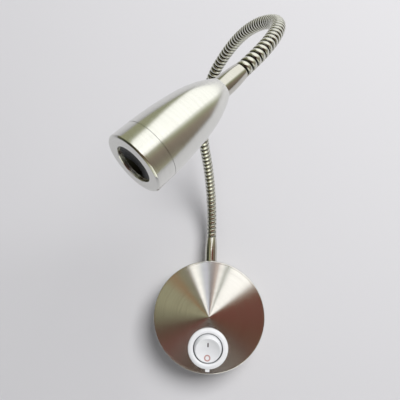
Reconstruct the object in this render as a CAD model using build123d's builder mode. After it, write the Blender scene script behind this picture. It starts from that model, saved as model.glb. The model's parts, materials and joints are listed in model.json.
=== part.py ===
from build123d import *
import os
from math import atan2, cos, degrees, radians, sin, sqrt

# A wall reading lamp: a round base with a rocker switch, a ribbed gooseneck arm and a turned head.
# Millimetres. The wall is the plane y = 0, the room is towards -Y, and +Z is up. The origin is the
# centre of the wall plate's back face.

# ---- Driving dimensions ---------------------------------------------------------------------

# Base cup and the plate it covers
base_radius = 40.0
base_depth = 26.0
base_wall = 1.6
base_edge = 0.8
rim_standoff = 0.5
plate_thickness = 1.5
plate_clearance = 0.6
ear_count = 3
ear_first_angle = 30.0
ear_width = 10.0
ear_depth = 10.0
side_screw_radius = 1.5
side_screw_length = 6.5
side_screw_inset = 0.4
side_screw_height = 7.0
hex_key = 1.5
hex_key_depth = 1.6
wall_screw_spacing = 58.0
wall_slot_length = 9.0
wall_slot_width = 4.5
cable_angle = -34.0
cable_inset = 11.2
cable_radius = 3.5
grommet_wall = 1.2
grommet_lip = 1.4
earth_angle = 40.0
earth_inset = 6.6
earth_screw_radius = 2.0
earth_head_radius = 3.6
earth_head_height = 2.4

# Fits
running_clearance = 0.05
push_clearance = 0.1
panel_clearance = 0.15
thread_clearance = 0.05
nut_clearance = 0.2

# Arm: where it leaves the base, and the sleeve at each end of it
arm_height = 13.0
spot_depth = 0.6
ferrule_length = 18.0
ferrule_straight = 7.0
ferrule_radius = 4.5
ferrule_mouth = 3.65
stud_radius = 3.0
stud_length = 8.4
stud_bore = 1.9
washer_radius = 5.4
washer_thickness = 0.6
nut_across = 10.0
nut_thickness = 3.0

# Gooseneck: ribbed tube in equal lengths that turn on one another like a ball in a cup
hose_radius = 3.5
groove_radius = 3.0
hose_bore = 2.1
spigot_radius = 2.95
spigot_length = 7.0
rib_pitch = 3.125
ribs_per_link = 11
rib_crest = 1.2
rib_flank = 0.4
first_rib = 0.3
ball_radius = 2.9
ball_face = 0.3
neck_radius = 2.4
cup_rim = 0.4
lead_radius = 1.4

# How the arm is bent as it stands: the turn of each length in degrees, and the way it turns, as an
# angle from the right-hand side (0) towards the wall (90) or the room (-90)
arm_bends = [(32, -99), (15, -113), (18, 21), (31, -57), (26, -88), (18, -78), (40, -124), (31, -125)]

# Head
head_length = 47.5
ring_length = 9.0
head_back_radius = 5.05
head_middle = (10.6, 16.3)
head_seam_radius = 12.7
head_front_radius = 12.95
head_bevel = 0.6
head_sink = 5.5
head_web = 3.0
head_wall = 1.9
seam_gap = 0.15
ring_thread_radius = 10.6
ring_end_gap = 0.5
ring_bore = 9.9
ring_lip = 1.6
window_radius = 8.15
lens_flange = 1.4
lens_foot_radius = 4.2
lens_waist_radius = 7.7
hollow_radius = 2.7
hollow_top_radius = 2.25
hollow_depth = 3.6
hollow_crown = 0.6
lens_height = 10.4
holder_wall = 0.5
board_radius = 9.4
board_thickness = 1.6
pad_thickness = 0.3
carrier_thickness = 7.0
board_screw_radius = 1.0
board_screw_place = 7.2
board_screw_length = 4.0
emitter_side = 3.4
emitter_height = 0.8
dome_radius = 1.5

# Rocker switch
bezel_margin = 3.5
bezel_radius = 14.5
bezel_height = 1.8
bezel_edge = 0.9
lug_width = 3.2
lug_length = 1.8
lug_height = 0.8
wing_reach = 0.7
wing_length = 4.0
wing_width = 5.0
switch_body_radius = 12.4
switch_body_depth = 15.0
switch_floor = 1.6
rocker_radius = 10.3
rocker_gap = 0.4
rocker_face_radius = 9.1
rocker_dish_radius = 8.5
rocker_dish_depth = 1.5
rocker_foot = 3.4
rocker_tilt = 14.0
pivot_inset = 2.5
trunnion_radius = 1.2
trunnion_end_gap = 0.3
boss_radius = 2.3
boss_length = 6.0
plunger_radius = 1.1
plunger_reach = 7.6
plunger_root = 3.0
spring_length = 3.6
spring_turns = 4
spring_wire_radius = 0.15
contact_tilt = 8.0
contact_length = 15.0
contact_width = 4.0
contact_thickness = 0.8
contact_gap = 0.25
fulcrum_gap = 0.15
tab_width = 4.8
tab_thickness = 0.8
tab_length = 6.5
tab_spacing = 6.2

# Driver and terminals
driver_width = 34.0
driver_height = 27.0
driver_thickness = 15.0
driver_wall = 1.4
driver_corner = 2.0
driver_gap = 4.1
driver_pad_thickness = 1.0
cover_thickness = 1.6
terminal_angle = -146.0
terminal_inset = 10.8
terminal_width = 9.0
terminal_height = 13.0
terminal_depth = 10.0
terminal_hole = 1.6
terminal_screw_radius = 1.5
wire_radius = 0.9
wire_entry = 1.5
wire_run = 10.0
wire_lead_in = 5.0
wire_inset = 4.5
wire_bend = 2.6
sleeve_wall = 0.8
sleeve_length = 5.2

# ---- Sizes worked out from them -------------------------------------------------------------

plate_radius = base_radius - base_wall - plate_clearance
switch_drop = base_radius - bezel_margin - bezel_radius
driver_foot = -switch_drop + switch_body_radius + driver_gap
head_seam_height = head_length - ring_length
ear_seat = sqrt(plate_radius**2 - (ear_width / 2) ** 2) - plate_thickness / 2
side_angles = [ear_first_angle + 360.0 / ear_count * i for i in range(ear_count)]
seat_height = base_radius - spot_depth
mouth_height = seat_height + ferrule_length
link_length = rib_pitch * ribs_per_link
link_count = len(arm_bends)
cup_radius = ball_radius + running_clearance
pivot_depth = base_depth - pivot_inset
rocker_face_height = sqrt(rocker_radius**2 - rocker_face_radius**2)
switch_back = base_depth - switch_body_depth


# ---- Helpers --------------------------------------------------------------------------------


def on_plate(angle, inset):
    """Place on the wall plate, as (x, z), at an angle and a distance in from its edge."""
    reach = plate_radius - inset
    return reach * cos(radians(angle)), reach * sin(radians(angle))


def facing_room(height, x=0.0, z=0.0):
    """Plane at a height above the wall, with its x to the right, its y up and its normal outwards."""
    return Plane(origin=(x, -height, z), x_dir=(1, 0, 0), z_dir=(0, -1, 0))


def facing_out(angle, radius, height):
    """Plane on the base's side: its normal points away from the base's axis."""
    out = Vector(cos(radians(angle)), 0, sin(radians(angle)))
    return Plane(origin=out * radius + Vector(0, -height, 0), x_dir=(0, 1, 0), z_dir=out)


def axis_of(frame):
    """The axis through a plane's origin along its normal."""
    return Axis(frame.origin, frame.z_dir)


def beside(frame):
    """Plane that holds a frame's axis: its x is a radius and its y is the height along the axis."""
    return Plane(origin=frame.origin, x_dir=frame.x_dir, z_dir=frame.x_dir.cross(frame.z_dir))


def turning(frame, *outline):
    """Closed outline of (radius, height) points beside a frame's axis, ready to be turned."""
    with BuildSketch(beside(frame)) as profile:
        with BuildLine():
            Polyline(*outline, close=True)
        make_face()
    return profile.sketch


def ring_of(frame, radius, bore, height):
    """Flat ring on a frame, as tall as asked, made in the part that is open."""
    with BuildSketch(frame) as flat:
        Circle(radius)
        Circle(bore, mode=Mode.SUBTRACT)
    extrude(flat.sketch, amount=height)


def save(piece, name):
    """Label a finished piece and write it to its own file."""
    piece.part.label = name
    export_step(piece.part, f"parts/{name}.step")


class Link:
    """One length of the arm: an arc that leaves its start plane along the normal."""

    def __init__(self, start, bend, heading):
        self.start = start
        self.bend = bend
        self.radius = link_length / radians(bend)
        aim = radians(heading)
        self.inward = start.x_dir * cos(aim) + start.y_dir * sin(aim)
        self.side = start.z_dir.cross(self.inward)
        self.centre = start.origin + self.inward * self.radius

    def axis(self):
        """Axis that the arc turns about."""
        return Axis(self.centre, self.side)

    def along(self, distance):
        """Square section plane a distance along the arc, or along the tangent before its start."""
        if distance < 0:
            place = self.start.origin + self.start.z_dir * distance
            return Plane(origin=place, x_dir=self.side, z_dir=self.start.z_dir)
        turn = distance / self.radius
        forward = self.start.z_dir * cos(turn) + self.inward * sin(turn)
        outward = self.inward * -cos(turn) + self.start.z_dir * sin(turn)
        return Plane(origin=self.centre + outward * self.radius, x_dir=self.side, z_dir=forward)

    def end(self):
        """The start plane of the next length: the whole start plane turned with the arc."""
        turned = self.start.x_dir.rotate(Axis((0, 0, 0), self.side), self.bend)
        return Plane(origin=self.along(link_length).origin, x_dir=turned, z_dir=self.along(link_length).z_dir)


def arm_links():
    """All lengths of the arm, from the base's sleeve to the head's."""
    links = []
    start = Plane(origin=(0, -arm_height, mouth_height), x_dir=(1, 0, 0), z_dir=(0, 0, 1))
    for bend, heading in arm_bends:
        links.append(Link(start, bend, heading))
        start = links[-1].end()
    return links


cable_place = on_plate(cable_angle, cable_inset)
earth_place = on_plate(earth_angle, earth_inset)
terminal_place = on_plate(terminal_angle, terminal_inset)
links = arm_links()
arm_end = links[-1].end()
head_frame = arm_end.offset(ferrule_length - head_sink)

os.makedirs("parts", exist_ok=True)

# ---- Base cup: a spun cup, open towards the wall ----------------------------------------------

wall_frame = facing_room(0)
switch_frame = facing_room(base_depth, z=-switch_drop)
arm_seat = Plane(origin=(0, -arm_height, seat_height), x_dir=(1, 0, 0), z_dir=(0, 0, 1))

with BuildPart() as base_cup:
    revolve(
        turning(
            wall_frame,
            (0, base_depth),
            (base_radius, base_depth),
            (base_radius, rim_standoff),
            (base_radius - base_wall, rim_standoff),
            (base_radius - base_wall, base_depth - base_wall),
            (0, base_depth - base_wall),
        ),
        axis=axis_of(wall_frame),
    )
    fillet(base_cup.edges().filter_by(GeomType.CIRCLE).sort_by(Axis.Y)[0], base_edge)
    with BuildSketch(switch_frame):
        Circle(switch_body_radius + panel_clearance)
    extrude(amount=-base_wall, mode=Mode.SUBTRACT)
    with BuildSketch(arm_seat):
        Circle(stud_radius + push_clearance)
    extrude(amount=-2 * base_wall, mode=Mode.SUBTRACT)
    with BuildSketch(arm_seat):
        Circle(ferrule_radius + panel_clearance)
    extrude(amount=2 * spot_depth, mode=Mode.SUBTRACT)
    for angle in side_angles:
        with BuildSketch(facing_out(angle, base_radius, side_screw_height)):
            Circle(side_screw_radius + push_clearance)
        extrude(amount=-2 * base_wall, mode=Mode.SUBTRACT)
save(base_cup, "base_cup")

# ---- Wall plate: flat disc with three ears bent up at its edge --------------------------------

with BuildPart() as wall_plate:
    with BuildSketch(wall_frame):
        Circle(plate_radius)
        with Locations((-wall_screw_spacing / 2, 0), (wall_screw_spacing / 2, 0)):
            SlotOverall(wall_slot_length, wall_slot_width, mode=Mode.SUBTRACT)
        with Locations(cable_place):
            Circle(cable_radius + grommet_wall, mode=Mode.SUBTRACT)
        with Locations(earth_place):
            Circle(earth_screw_radius + thread_clearance, mode=Mode.SUBTRACT)
    extrude(amount=plate_thickness)
    with BuildSketch(wall_frame.offset(plate_thickness)):
        with PolarLocations(ear_seat, ear_count, start_angle=ear_first_angle):
            Rectangle(plate_thickness, ear_width)
    extrude(amount=ear_depth)
    for angle in side_angles:
        with BuildSketch(facing_out(angle, base_radius, side_screw_height)):
            Circle(side_screw_radius + thread_clearance)
        extrude(amount=-(base_radius - ear_seat + plate_thickness), mode=Mode.SUBTRACT)
save(wall_plate, "wall_plate")

with BuildPart() as side_screws:
    for angle in side_angles:
        with BuildSketch(facing_out(angle, base_radius - side_screw_inset, side_screw_height)):
            Circle(side_screw_radius)
        extrude(amount=-side_screw_length)
        with BuildSketch(facing_out(angle, base_radius - side_screw_inset, side_screw_height)):
            RegularPolygon(hex_key / 2, 6, major_radius=False)
        extrude(amount=-hex_key_depth, mode=Mode.SUBTRACT)
save(side_screws, "side_screws")

# ---- Cable inlet and earth point -------------------------------------------------------------

cable_frame = facing_room(0, *cable_place)
groove_edge = cable_radius + grommet_wall - push_clearance
lip_edge = cable_radius + grommet_wall + grommet_lip

with BuildPart() as cable_grommet:
    revolve(
        turning(
            cable_frame,
            (cable_radius, 0),
            (groove_edge, 0),
            (groove_edge, plate_thickness),
            (lip_edge, plate_thickness),
            (lip_edge - grommet_wall / 2, plate_thickness + grommet_lip),
            (cable_radius, plate_thickness + grommet_lip),
        ),
        axis=axis_of(cable_frame),
    )
save(cable_grommet, "cable_grommet")

earth_frame = facing_room(plate_thickness, *earth_place)
with BuildPart() as earth_screw:
    with BuildSketch(facing_room(0, *earth_place)):
        Circle(earth_screw_radius)
    extrude(amount=plate_thickness)
    with BuildSketch(earth_frame):
        Circle(earth_head_radius)
    extrude(amount=earth_head_height)
    fillet(earth_screw.edges().filter_by(GeomType.CIRCLE).sort_by(Axis.Y)[0], earth_head_height / 3)
    with BuildSketch(earth_frame.offset(earth_head_height)):
        Rectangle(earth_head_radius * 2, tab_thickness)
        Rectangle(tab_thickness, earth_head_radius * 2)
    extrude(amount=-earth_head_height / 2, mode=Mode.SUBTRACT)
save(earth_screw, "earth_screw")

# ---- Sleeves, washers and nuts at both ends of the arm ---------------------------------------


def make_ferrule(frame, name):
    """Turned sleeve on a frame at its mouth, whose normal points away from the arm."""
    with BuildSketch(beside(frame)) as profile:
        with BuildLine():
            side = TangentArc(
                (ferrule_radius, ferrule_length - ferrule_straight), (ferrule_mouth, 0), tangent=(0, -1)
            )
            Polyline(
                side @ 1,
                (spigot_radius + running_clearance, 0),
                (spigot_radius + running_clearance, spigot_length + push_clearance),
                (stud_bore, spigot_length + push_clearance),
                (stud_bore, ferrule_length + stud_length),
                (stud_radius, ferrule_length + stud_length),
                (stud_radius, ferrule_length),
                (ferrule_radius, ferrule_length),
                side @ 0,
            )
        make_face()
    with BuildPart() as ferrule:
        revolve(profile.sketch, axis=axis_of(frame))
    save(ferrule, name)


def make_washer(frame, name):
    """Plain washer that lies on a frame."""
    with BuildPart() as washer:
        ring_of(frame, washer_radius, stud_radius + push_clearance, washer_thickness)
    save(washer, name)


def make_nut(frame, name):
    """Thin hexagon nut that lies on a frame, with its corners turned off on the free side."""
    with BuildPart() as nut:
        with BuildSketch(frame) as flat:
            RegularPolygon(nut_across / 2, 6, major_radius=False)
            Circle(stud_radius + thread_clearance, mode=Mode.SUBTRACT)
        extrude(flat.sketch, amount=nut_thickness)
        corner = nut_across / sqrt(3)
        drop = (corner - nut_across / 2) / 2
        revolve(
            turning(
                frame,
                (nut_across / 2 - drop, nut_thickness),
                (corner, nut_thickness - drop),
                (corner + drop, nut_thickness - drop),
                (corner + drop, nut_thickness + drop),
                (nut_across / 2 - drop, nut_thickness + drop),
            ),
            axis=axis_of(frame),
            mode=Mode.SUBTRACT,
        )
    save(nut, name)


base_mouth = Plane(origin=(0, -arm_height, mouth_height), x_dir=(1, 0, 0), z_dir=(0, 0, -1))
inner_wall = base_radius - base_wall
washer_seat = mouth_height - sqrt(inner_wall**2 - washer_radius**2)
make_ferrule(base_mouth, "base_ferrule")
make_washer(base_mouth.offset(washer_seat), "base_washer")
make_nut(base_mouth.offset(washer_seat + washer_thickness), "base_nut")

# ---- Gooseneck -------------------------------------------------------------------------------


def rib_profile(is_first, is_last):
    """Stations (distance along the length, radius) of the ribbed outside of one length."""
    stations = []
    if is_first:
        stations += [(-spigot_length, spigot_radius), (0, spigot_radius)]
        stations += [(first_rib, hose_radius), (first_rib + rib_crest / 2, hose_radius)]
        stations += [(first_rib + rib_crest / 2 + rib_flank, groove_radius)]
    else:
        stations += [(-cup_rim, hose_radius - rib_flank / 2), (-cup_rim + rib_flank / 2, hose_radius)]
        stations += [(first_rib + rib_crest / 2, hose_radius)]
        stations += [(first_rib + rib_crest / 2 + rib_flank, groove_radius)]
    for rib in range(1, ribs_per_link):
        middle = first_rib + rib * rib_pitch
        stations += [(middle - rib_crest / 2 - rib_flank, groove_radius)]
        stations += [(middle - rib_crest / 2, hose_radius), (middle + rib_crest / 2, hose_radius)]
        if is_last or rib < ribs_per_link - 1:
            stations += [(middle + rib_crest / 2 + rib_flank, groove_radius)]
    if is_last:
        stations += [(link_length, spigot_radius)]
    return stations


def make_link(link, number):
    """One ribbed length, with a ball at its far end and a cup for the last one's ball."""
    is_first = number == 1
    is_last = number == link_count
    far = link.end()
    with BuildPart() as hose:
        for distance, radius in rib_profile(is_first, is_last):
            with BuildSketch(link.along(distance)):
                Circle(radius)
        loft(ruled=True)
        if is_last:
            with BuildSketch(far):
                Circle(spigot_radius)
            extrude(amount=spigot_length)
        else:
            last_crest = first_rib + (ribs_per_link - 1) * rib_pitch + rib_crest / 2
            with BuildSketch(far):
                Circle(neck_radius)
            extrude(amount=last_crest - link_length - rib_flank)
            revolve(
                turning(
                    far,
                    (0, -ball_radius),
                    (0, ball_face),
                    (sqrt(ball_radius**2 - ball_face**2), ball_face),
                    (ball_radius, 0),
                    (ball_radius * cos(radians(15)), -ball_radius * sin(radians(15))),
                    (ball_radius * cos(radians(30)), -ball_radius * sin(radians(30))),
                ),
                axis=axis_of(far),
            )
        if not is_first:
            with Locations(link.start.origin):
                Sphere(cup_radius, mode=Mode.SUBTRACT)
        with BuildSketch(link.start):
            Circle(hose_bore)
        revolve(axis=link.axis(), revolution_arc=link.bend, mode=Mode.SUBTRACT)
        with BuildSketch(far):
            Circle(hose_bore)
        extrude(amount=spigot_length, mode=Mode.SUBTRACT)
        with BuildSketch(link.start):
            Circle(hose_bore)
        extrude(amount=-spigot_length, mode=Mode.SUBTRACT)
    save(hose, f"gooseneck_{number}")


def make_lead(link, number):
    """The stretch of inner lead in one length: round where it meets the next stretch."""
    start_gap = 0 if number == 1 else lead_radius + running_clearance
    start = link.along(start_gap)
    with BuildPart() as lead:
        with BuildSketch(start):
            Circle(lead_radius)
        revolve(axis=link.axis(), revolution_arc=link.bend * (1 - start_gap / link_length))
        if number < link_count:
            with Locations(link.end().origin):
                Sphere(lead_radius)
    save(lead, f"lead_{number}")


for index, link in enumerate(links):
    make_link(link, index + 1)
    make_lead(link, index + 1)

# ---- Head ------------------------------------------------------------------------------------

make_ferrule(arm_end, "head_ferrule")
web_front = head_sink + head_web
make_washer(head_frame.offset(web_front), "head_washer")
make_nut(head_frame.offset(web_front + washer_thickness), "head_nut")

ring_back = head_seam_height + seam_gap
lens_front = head_length - ring_lip
board_front = lens_front - lens_height
board_back = board_front - board_thickness
carrier_front = board_back - pad_thickness
carrier_back = carrier_front - carrier_thickness
thread_wall = ring_thread_radius + thread_clearance
ring_end = carrier_front + ring_end_gap

with BuildPart() as head_shell:
    with BuildSketch(beside(head_frame)):
        with BuildLine():
            aim = (head_seam_radius - head_front_radius, -ring_length)
            flank = TangentArc((head_seam_radius, head_seam_height), head_middle, tangent=aim)
            nose = TangentArc(flank @ 1, (head_back_radius, 0), tangent=flank % 1)
            Polyline(
                nose @ 1,
                (ferrule_radius + running_clearance, 0),
                (ferrule_radius + running_clearance, head_sink),
                (stud_radius + push_clearance, head_sink),
                (stud_radius + push_clearance, web_front),
                (nut_across / sqrt(3) + nut_clearance, web_front),
                (head_middle[0] - head_wall, head_middle[1]),
                (thread_wall, carrier_back),
                (thread_wall, head_seam_height),
                flank @ 0,
            )
        make_face()
    revolve(axis=axis_of(head_frame))
save(head_shell, "head_shell")

with BuildPart() as front_ring:
    revolve(
        turning(
            head_frame,
            (window_radius, head_length - head_bevel / 2),
            (window_radius + head_bevel / 2, head_length),
            (head_front_radius - head_bevel, head_length),
            (head_front_radius, head_length - head_bevel),
            (head_seam_radius, ring_back),
            (ring_thread_radius, ring_back),
            (ring_thread_radius, ring_end),
            (ring_bore, ring_end),
            (ring_bore, lens_front),
            (window_radius, lens_front),
        ),
        axis=axis_of(head_frame),
    )
save(front_ring, "front_ring")

# The collimator: a flat front, a rim to hold it by, and a bowl that narrows to the emitter
lens_rim = ring_bore - push_clearance
lens_foot = board_front + emitter_height
with BuildPart() as lens:
    with BuildSketch(beside(head_frame)):
        with BuildLine():
            bowl = ThreePointArc(
                (lens_foot_radius, lens_foot),
                (lens_waist_radius, (lens_foot + lens_front) / 2),
                (lens_rim - holder_wall, lens_front - lens_flange),
            )
            Polyline(
                bowl @ 1,
                (lens_rim, lens_front - lens_flange),
                (lens_rim, lens_front),
                (0, lens_front),
                (0, lens_foot + hollow_depth),
                (hollow_top_radius, lens_foot + hollow_depth - hollow_crown),
                (hollow_radius, lens_foot),
                bowl @ 0,
            )
        make_face()
    revolve(axis=axis_of(head_frame))
save(lens, "lens")

with BuildPart() as lens_holder:
    revolve(
        turning(
            head_frame,
            (lens_foot_radius + holder_wall / 2, board_front),
            (lens_rim, board_front),
            (lens_rim, lens_front - lens_flange),
            (lens_rim - holder_wall / 2, lens_front - lens_flange),
            (lens_rim - holder_wall, board_front + holder_wall * 2),
            (lens_foot_radius + holder_wall / 2, board_front + holder_wall * 2),
        ),
        axis=axis_of(head_frame),
    )
save(lens_holder, "lens_holder")

screw_spots = [(board_screw_place, 0), (-board_screw_place, 0)]
with BuildPart() as led_board:
    with BuildSketch(head_frame.offset(board_back)):
        Circle(board_radius)
        with PolarLocations(board_radius, 6, start_angle=30):
            Circle(board_screw_radius, mode=Mode.SUBTRACT)
        with Locations(*screw_spots):
            Circle(board_screw_radius + push_clearance, mode=Mode.SUBTRACT)
    extrude(amount=board_thickness)
save(led_board, "led_board")

with BuildPart() as led_emitter:
    with BuildSketch(head_frame.offset(board_front)):
        Rectangle(emitter_side, emitter_side)
    extrude(amount=emitter_height)
    with Locations(head_frame.offset(board_front + emitter_height)):
        Sphere(dome_radius, arc_size1=0)
save(led_emitter, "led_emitter")

with BuildPart() as thermal_pad:
    with BuildSketch(head_frame.offset(carrier_front)):
        Circle(board_radius)
        Circle(stud_bore, mode=Mode.SUBTRACT)
        with Locations(*screw_spots):
            Circle(board_screw_radius + push_clearance, mode=Mode.SUBTRACT)
    extrude(amount=pad_thickness)
save(thermal_pad, "thermal_pad")

with BuildPart() as led_carrier:
    with BuildSketch(head_frame.offset(carrier_back)):
        Circle(ring_thread_radius)
        Circle(stud_bore, mode=Mode.SUBTRACT)
    extrude(amount=carrier_thickness)
    with BuildSketch(head_frame.offset(carrier_front)):
        with Locations(*screw_spots):
            Circle(board_screw_radius + thread_clearance)
    extrude(amount=-board_screw_length, mode=Mode.SUBTRACT)
save(led_carrier, "led_carrier")

with BuildPart() as board_screws:
    with BuildSketch(head_frame.offset(board_front)):
        with Locations(*screw_spots):
            Circle(board_screw_radius)
    extrude(amount=-(board_screw_length + pad_thickness))
save(board_screws, "board_screws")

# ---- Leads at the two ends of the arm ---------------------------------------------------------

driver_top = driver_foot + driver_height
with BuildPart() as driver_lead:
    with BuildSketch(Plane(origin=(0, -arm_height, driver_top), x_dir=(1, 0, 0), z_dir=(0, 0, 1))):
        Circle(lead_radius)
    extrude(amount=mouth_height - driver_top)
save(driver_lead, "driver_lead")

with BuildPart() as head_lead:
    with BuildSketch(arm_end):
        Circle(lead_radius)
    extrude(amount=ferrule_length - head_sink + board_back)
save(head_lead, "head_lead")

grommet_end = stud_length + head_sink
with BuildPart() as head_grommet:
    ring_of(
        head_frame.offset(grommet_end),
        stud_radius,
        lead_radius + push_clearance,
        washer_thickness * 2,
    )
save(head_grommet, "head_grommet")

# ---- Rocker switch ----------------------------------------------------------------------------

pivot_frame = facing_room(pivot_depth, z=-switch_drop)
cavity_radius = rocker_radius + rocker_gap
with BuildPart() as switch_housing:
    revolve(
        turning(
            switch_frame,
            (cavity_radius, bezel_height),
            (bezel_radius - bezel_edge, bezel_height),
            (bezel_radius, bezel_height - bezel_edge),
            (bezel_radius, 0),
            (switch_body_radius, 0),
            (switch_body_radius, -switch_body_depth),
            (0, -switch_body_depth),
            (0, -switch_body_depth + switch_floor),
            (cavity_radius, -switch_body_depth + switch_floor),
        ),
        axis=axis_of(switch_frame),
    )
    with BuildSketch(switch_frame):
        with Locations((0, -(bezel_radius + lug_length / 2 - bezel_edge / 2))):
            Rectangle(lug_width, lug_length + bezel_edge)
    extrude(amount=lug_height)
    with BuildSketch(Plane(origin=pivot_frame.origin, x_dir=(0, 1, 0), z_dir=(1, 0, 0))):
        Circle(trunnion_radius + running_clearance)
    extrude(amount=switch_body_radius, both=True, mode=Mode.SUBTRACT)
    with BuildSketch(switch_frame.offset(-switch_body_depth)):
        with Locations((0, -tab_spacing), (0, 0), (0, tab_spacing)):
            Rectangle(tab_width + 2 * running_clearance, tab_thickness + 2 * running_clearance)
    extrude(amount=switch_floor, mode=Mode.SUBTRACT)
    wing_frame = Plane(origin=switch_frame.origin, x_dir=(0, 0, 1), z_dir=(1, 0, 0))
    catch = -base_wall - panel_clearance
    with BuildSketch(wing_frame):
        for way in (-1, 1):
            with BuildLine():
                Polyline(
                    (way * (switch_body_radius - wing_reach / 2), catch),
                    (way * (switch_body_radius + wing_reach), catch),
                    (way * (switch_body_radius - wing_reach / 2), catch - wing_length),
                    close=True,
                )
            make_face()
    extrude(amount=wing_width / 2, both=True)
save(switch_housing, "switch_housing")

# The rocker is drawn square to its own frame, which leans down by its tilt as its foot is pressed
tilt = radians(rocker_tilt)
rocker_frame = Plane(origin=pivot_frame.origin, x_dir=(1, 0, 0), z_dir=(0, -cos(tilt), -sin(tilt)))
foot_radius = sqrt(rocker_radius**2 - rocker_foot**2)
dish_radius = (rocker_dish_radius**2 + rocker_dish_depth**2) / (2 * rocker_dish_depth)
with BuildPart() as switch_rocker:
    with BuildSketch(beside(rocker_frame)):
        with BuildLine():
            edge = ThreePointArc(
                (foot_radius, -rocker_foot), (rocker_radius, 0), (rocker_face_radius, rocker_face_height)
            )
            Polyline(
                edge @ 1,
                (0, rocker_face_height),
                (0, -boss_length),
                (boss_radius, -boss_length),
                (boss_radius, -rocker_foot),
                edge @ 0,
            )
        make_face()
    revolve(axis=axis_of(rocker_frame))
    with Locations(rocker_frame.offset(rocker_face_height - rocker_dish_depth + dish_radius).origin):
        Sphere(dish_radius, mode=Mode.SUBTRACT)
    with BuildSketch(Plane(origin=rocker_frame.origin, x_dir=(0, 1, 0), z_dir=(1, 0, 0))):
        Circle(trunnion_radius)
    extrude(amount=switch_body_radius - trunnion_end_gap, both=True)
    with BuildSketch(rocker_frame.offset(-boss_length)):
        Circle(plunger_radius + running_clearance)
    extrude(amount=boss_length - plunger_root + spring_length, mode=Mode.SUBTRACT)
save(switch_rocker, "switch_rocker")

# A small coil spring fills the bore over the plunger
spring_frame = rocker_frame.offset(spring_wire_radius - plunger_root)
coil_radius = plunger_radius - spring_wire_radius
coil_height = spring_length - 2 * spring_wire_radius
with BuildPart() as switch_spring:
    with BuildLine() as coil:
        Helix(
            pitch=coil_height / spring_turns,
            height=coil_height,
            radius=coil_radius,
            center=spring_frame.origin,
            direction=spring_frame.z_dir,
        )
    with BuildSketch(Plane(origin=coil.line @ 0, z_dir=coil.line % 0)):
        Circle(spring_wire_radius)
    sweep(path=coil.line, is_frenet=True)
save(switch_spring, "switch_spring")

with BuildPart() as switch_plunger:
    with BuildSketch(rocker_frame.offset(-plunger_root)):
        Circle(plunger_radius)
    extrude(amount=-(plunger_reach - plunger_root - plunger_radius))
    with Locations(rocker_frame.offset(-(plunger_reach - plunger_radius)).origin):
        Sphere(plunger_radius)
save(switch_plunger, "switch_plunger")

# The contact arm tips about the edge of the middle tab, under the plunger
fulcrum_depth = pivot_depth - plunger_reach - contact_gap - contact_thickness
lean = radians(contact_tilt)
contact_frame = Plane(
    origin=(0, -fulcrum_depth, -switch_drop), x_dir=(1, 0, 0), z_dir=(0, -cos(lean), sin(lean))
)
with BuildPart() as switch_contact:
    with BuildSketch(contact_frame):
        Rectangle(contact_width, contact_length)
    extrude(amount=contact_thickness)
save(switch_contact, "switch_contact")

fulcrum_depth_free = fulcrum_depth - fulcrum_gap
pad_depth = fulcrum_depth_free - (tab_spacing + tab_thickness / 2) * sin(lean) / cos(lean)
with BuildPart() as switch_terminals:
    for place, top in ((-tab_spacing, pad_depth), (0, fulcrum_depth_free), (tab_spacing, pad_depth)):
        low = facing_room(switch_back - tab_length, z=place - switch_drop)
        with BuildSketch(low):
            Rectangle(tab_width, tab_thickness)
        extrude(amount=top - switch_back + tab_length)
save(switch_terminals, "switch_terminals")

# ---- Driver, its pad and the mains terminals ---------------------------------------------------

driver_centre = driver_foot + driver_height / 2
pad_frame = facing_room(plate_thickness, z=driver_centre)
case_frame = pad_frame.offset(driver_pad_thickness)

with BuildPart() as driver_pad:
    with BuildSketch(pad_frame):
        Rectangle(driver_width - driver_corner, driver_height - driver_corner)
    extrude(amount=driver_pad_thickness)
save(driver_pad, "driver_pad")

with BuildPart() as driver_case:
    with BuildSketch(case_frame):
        RectangleRounded(driver_width, driver_height, driver_corner)
    extrude(amount=driver_thickness)
    with BuildSketch(case_frame.offset(driver_thickness)):
        RectangleRounded(driver_width - 2 * driver_wall, driver_height - 2 * driver_wall, driver_corner / 2)
    extrude(amount=-cover_thickness, mode=Mode.SUBTRACT)
save(driver_case, "driver_case")

with BuildPart() as driver_cover:
    inset = 2 * (driver_wall + push_clearance)
    with BuildSketch(case_frame.offset(driver_thickness - cover_thickness)):
        RectangleRounded(driver_width - inset, driver_height - inset, driver_corner / 2)
    extrude(amount=cover_thickness)
save(driver_cover, "driver_cover")

terminal_frame = facing_room(plate_thickness, *terminal_place)
pole_spots = [(0, -terminal_height / 4), (0, terminal_height / 4)]
with BuildPart() as terminal_block:
    with BuildSketch(terminal_frame):
        Rectangle(terminal_width, terminal_height)
    extrude(amount=terminal_depth)
    with BuildSketch(terminal_frame.offset(terminal_depth)):
        with Locations(*pole_spots):
            Circle(terminal_screw_radius + push_clearance)
    extrude(amount=-terminal_depth / 2, mode=Mode.SUBTRACT)
    entry = Plane(origin=terminal_frame.offset(terminal_depth / 3).origin, x_dir=(0, 0, 1), z_dir=(1, 0, 0))
    with BuildSketch(entry):
        with Locations((-terminal_height / 4, 0), (terminal_height / 4, 0)):
            Circle(terminal_hole)
    extrude(amount=terminal_width, both=True, mode=Mode.SUBTRACT)
save(terminal_block, "terminal_block")

with BuildPart() as terminal_screws:
    with BuildSketch(terminal_frame.offset(terminal_depth - push_clearance)):
        with Locations(*pole_spots):
            Circle(terminal_screw_radius)
    extrude(amount=-(terminal_depth / 2 - push_clearance))
    with BuildSketch(terminal_frame.offset(terminal_depth - push_clearance)):
        with Locations(*pole_spots):
            Rectangle(terminal_screw_radius * 2, wire_radius / 2)
    extrude(amount=-wire_radius, mode=Mode.SUBTRACT)
save(terminal_screws, "terminal_screws")

# ---- Leads from the terminals to the switch and the driver --------------------------------------

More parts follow.
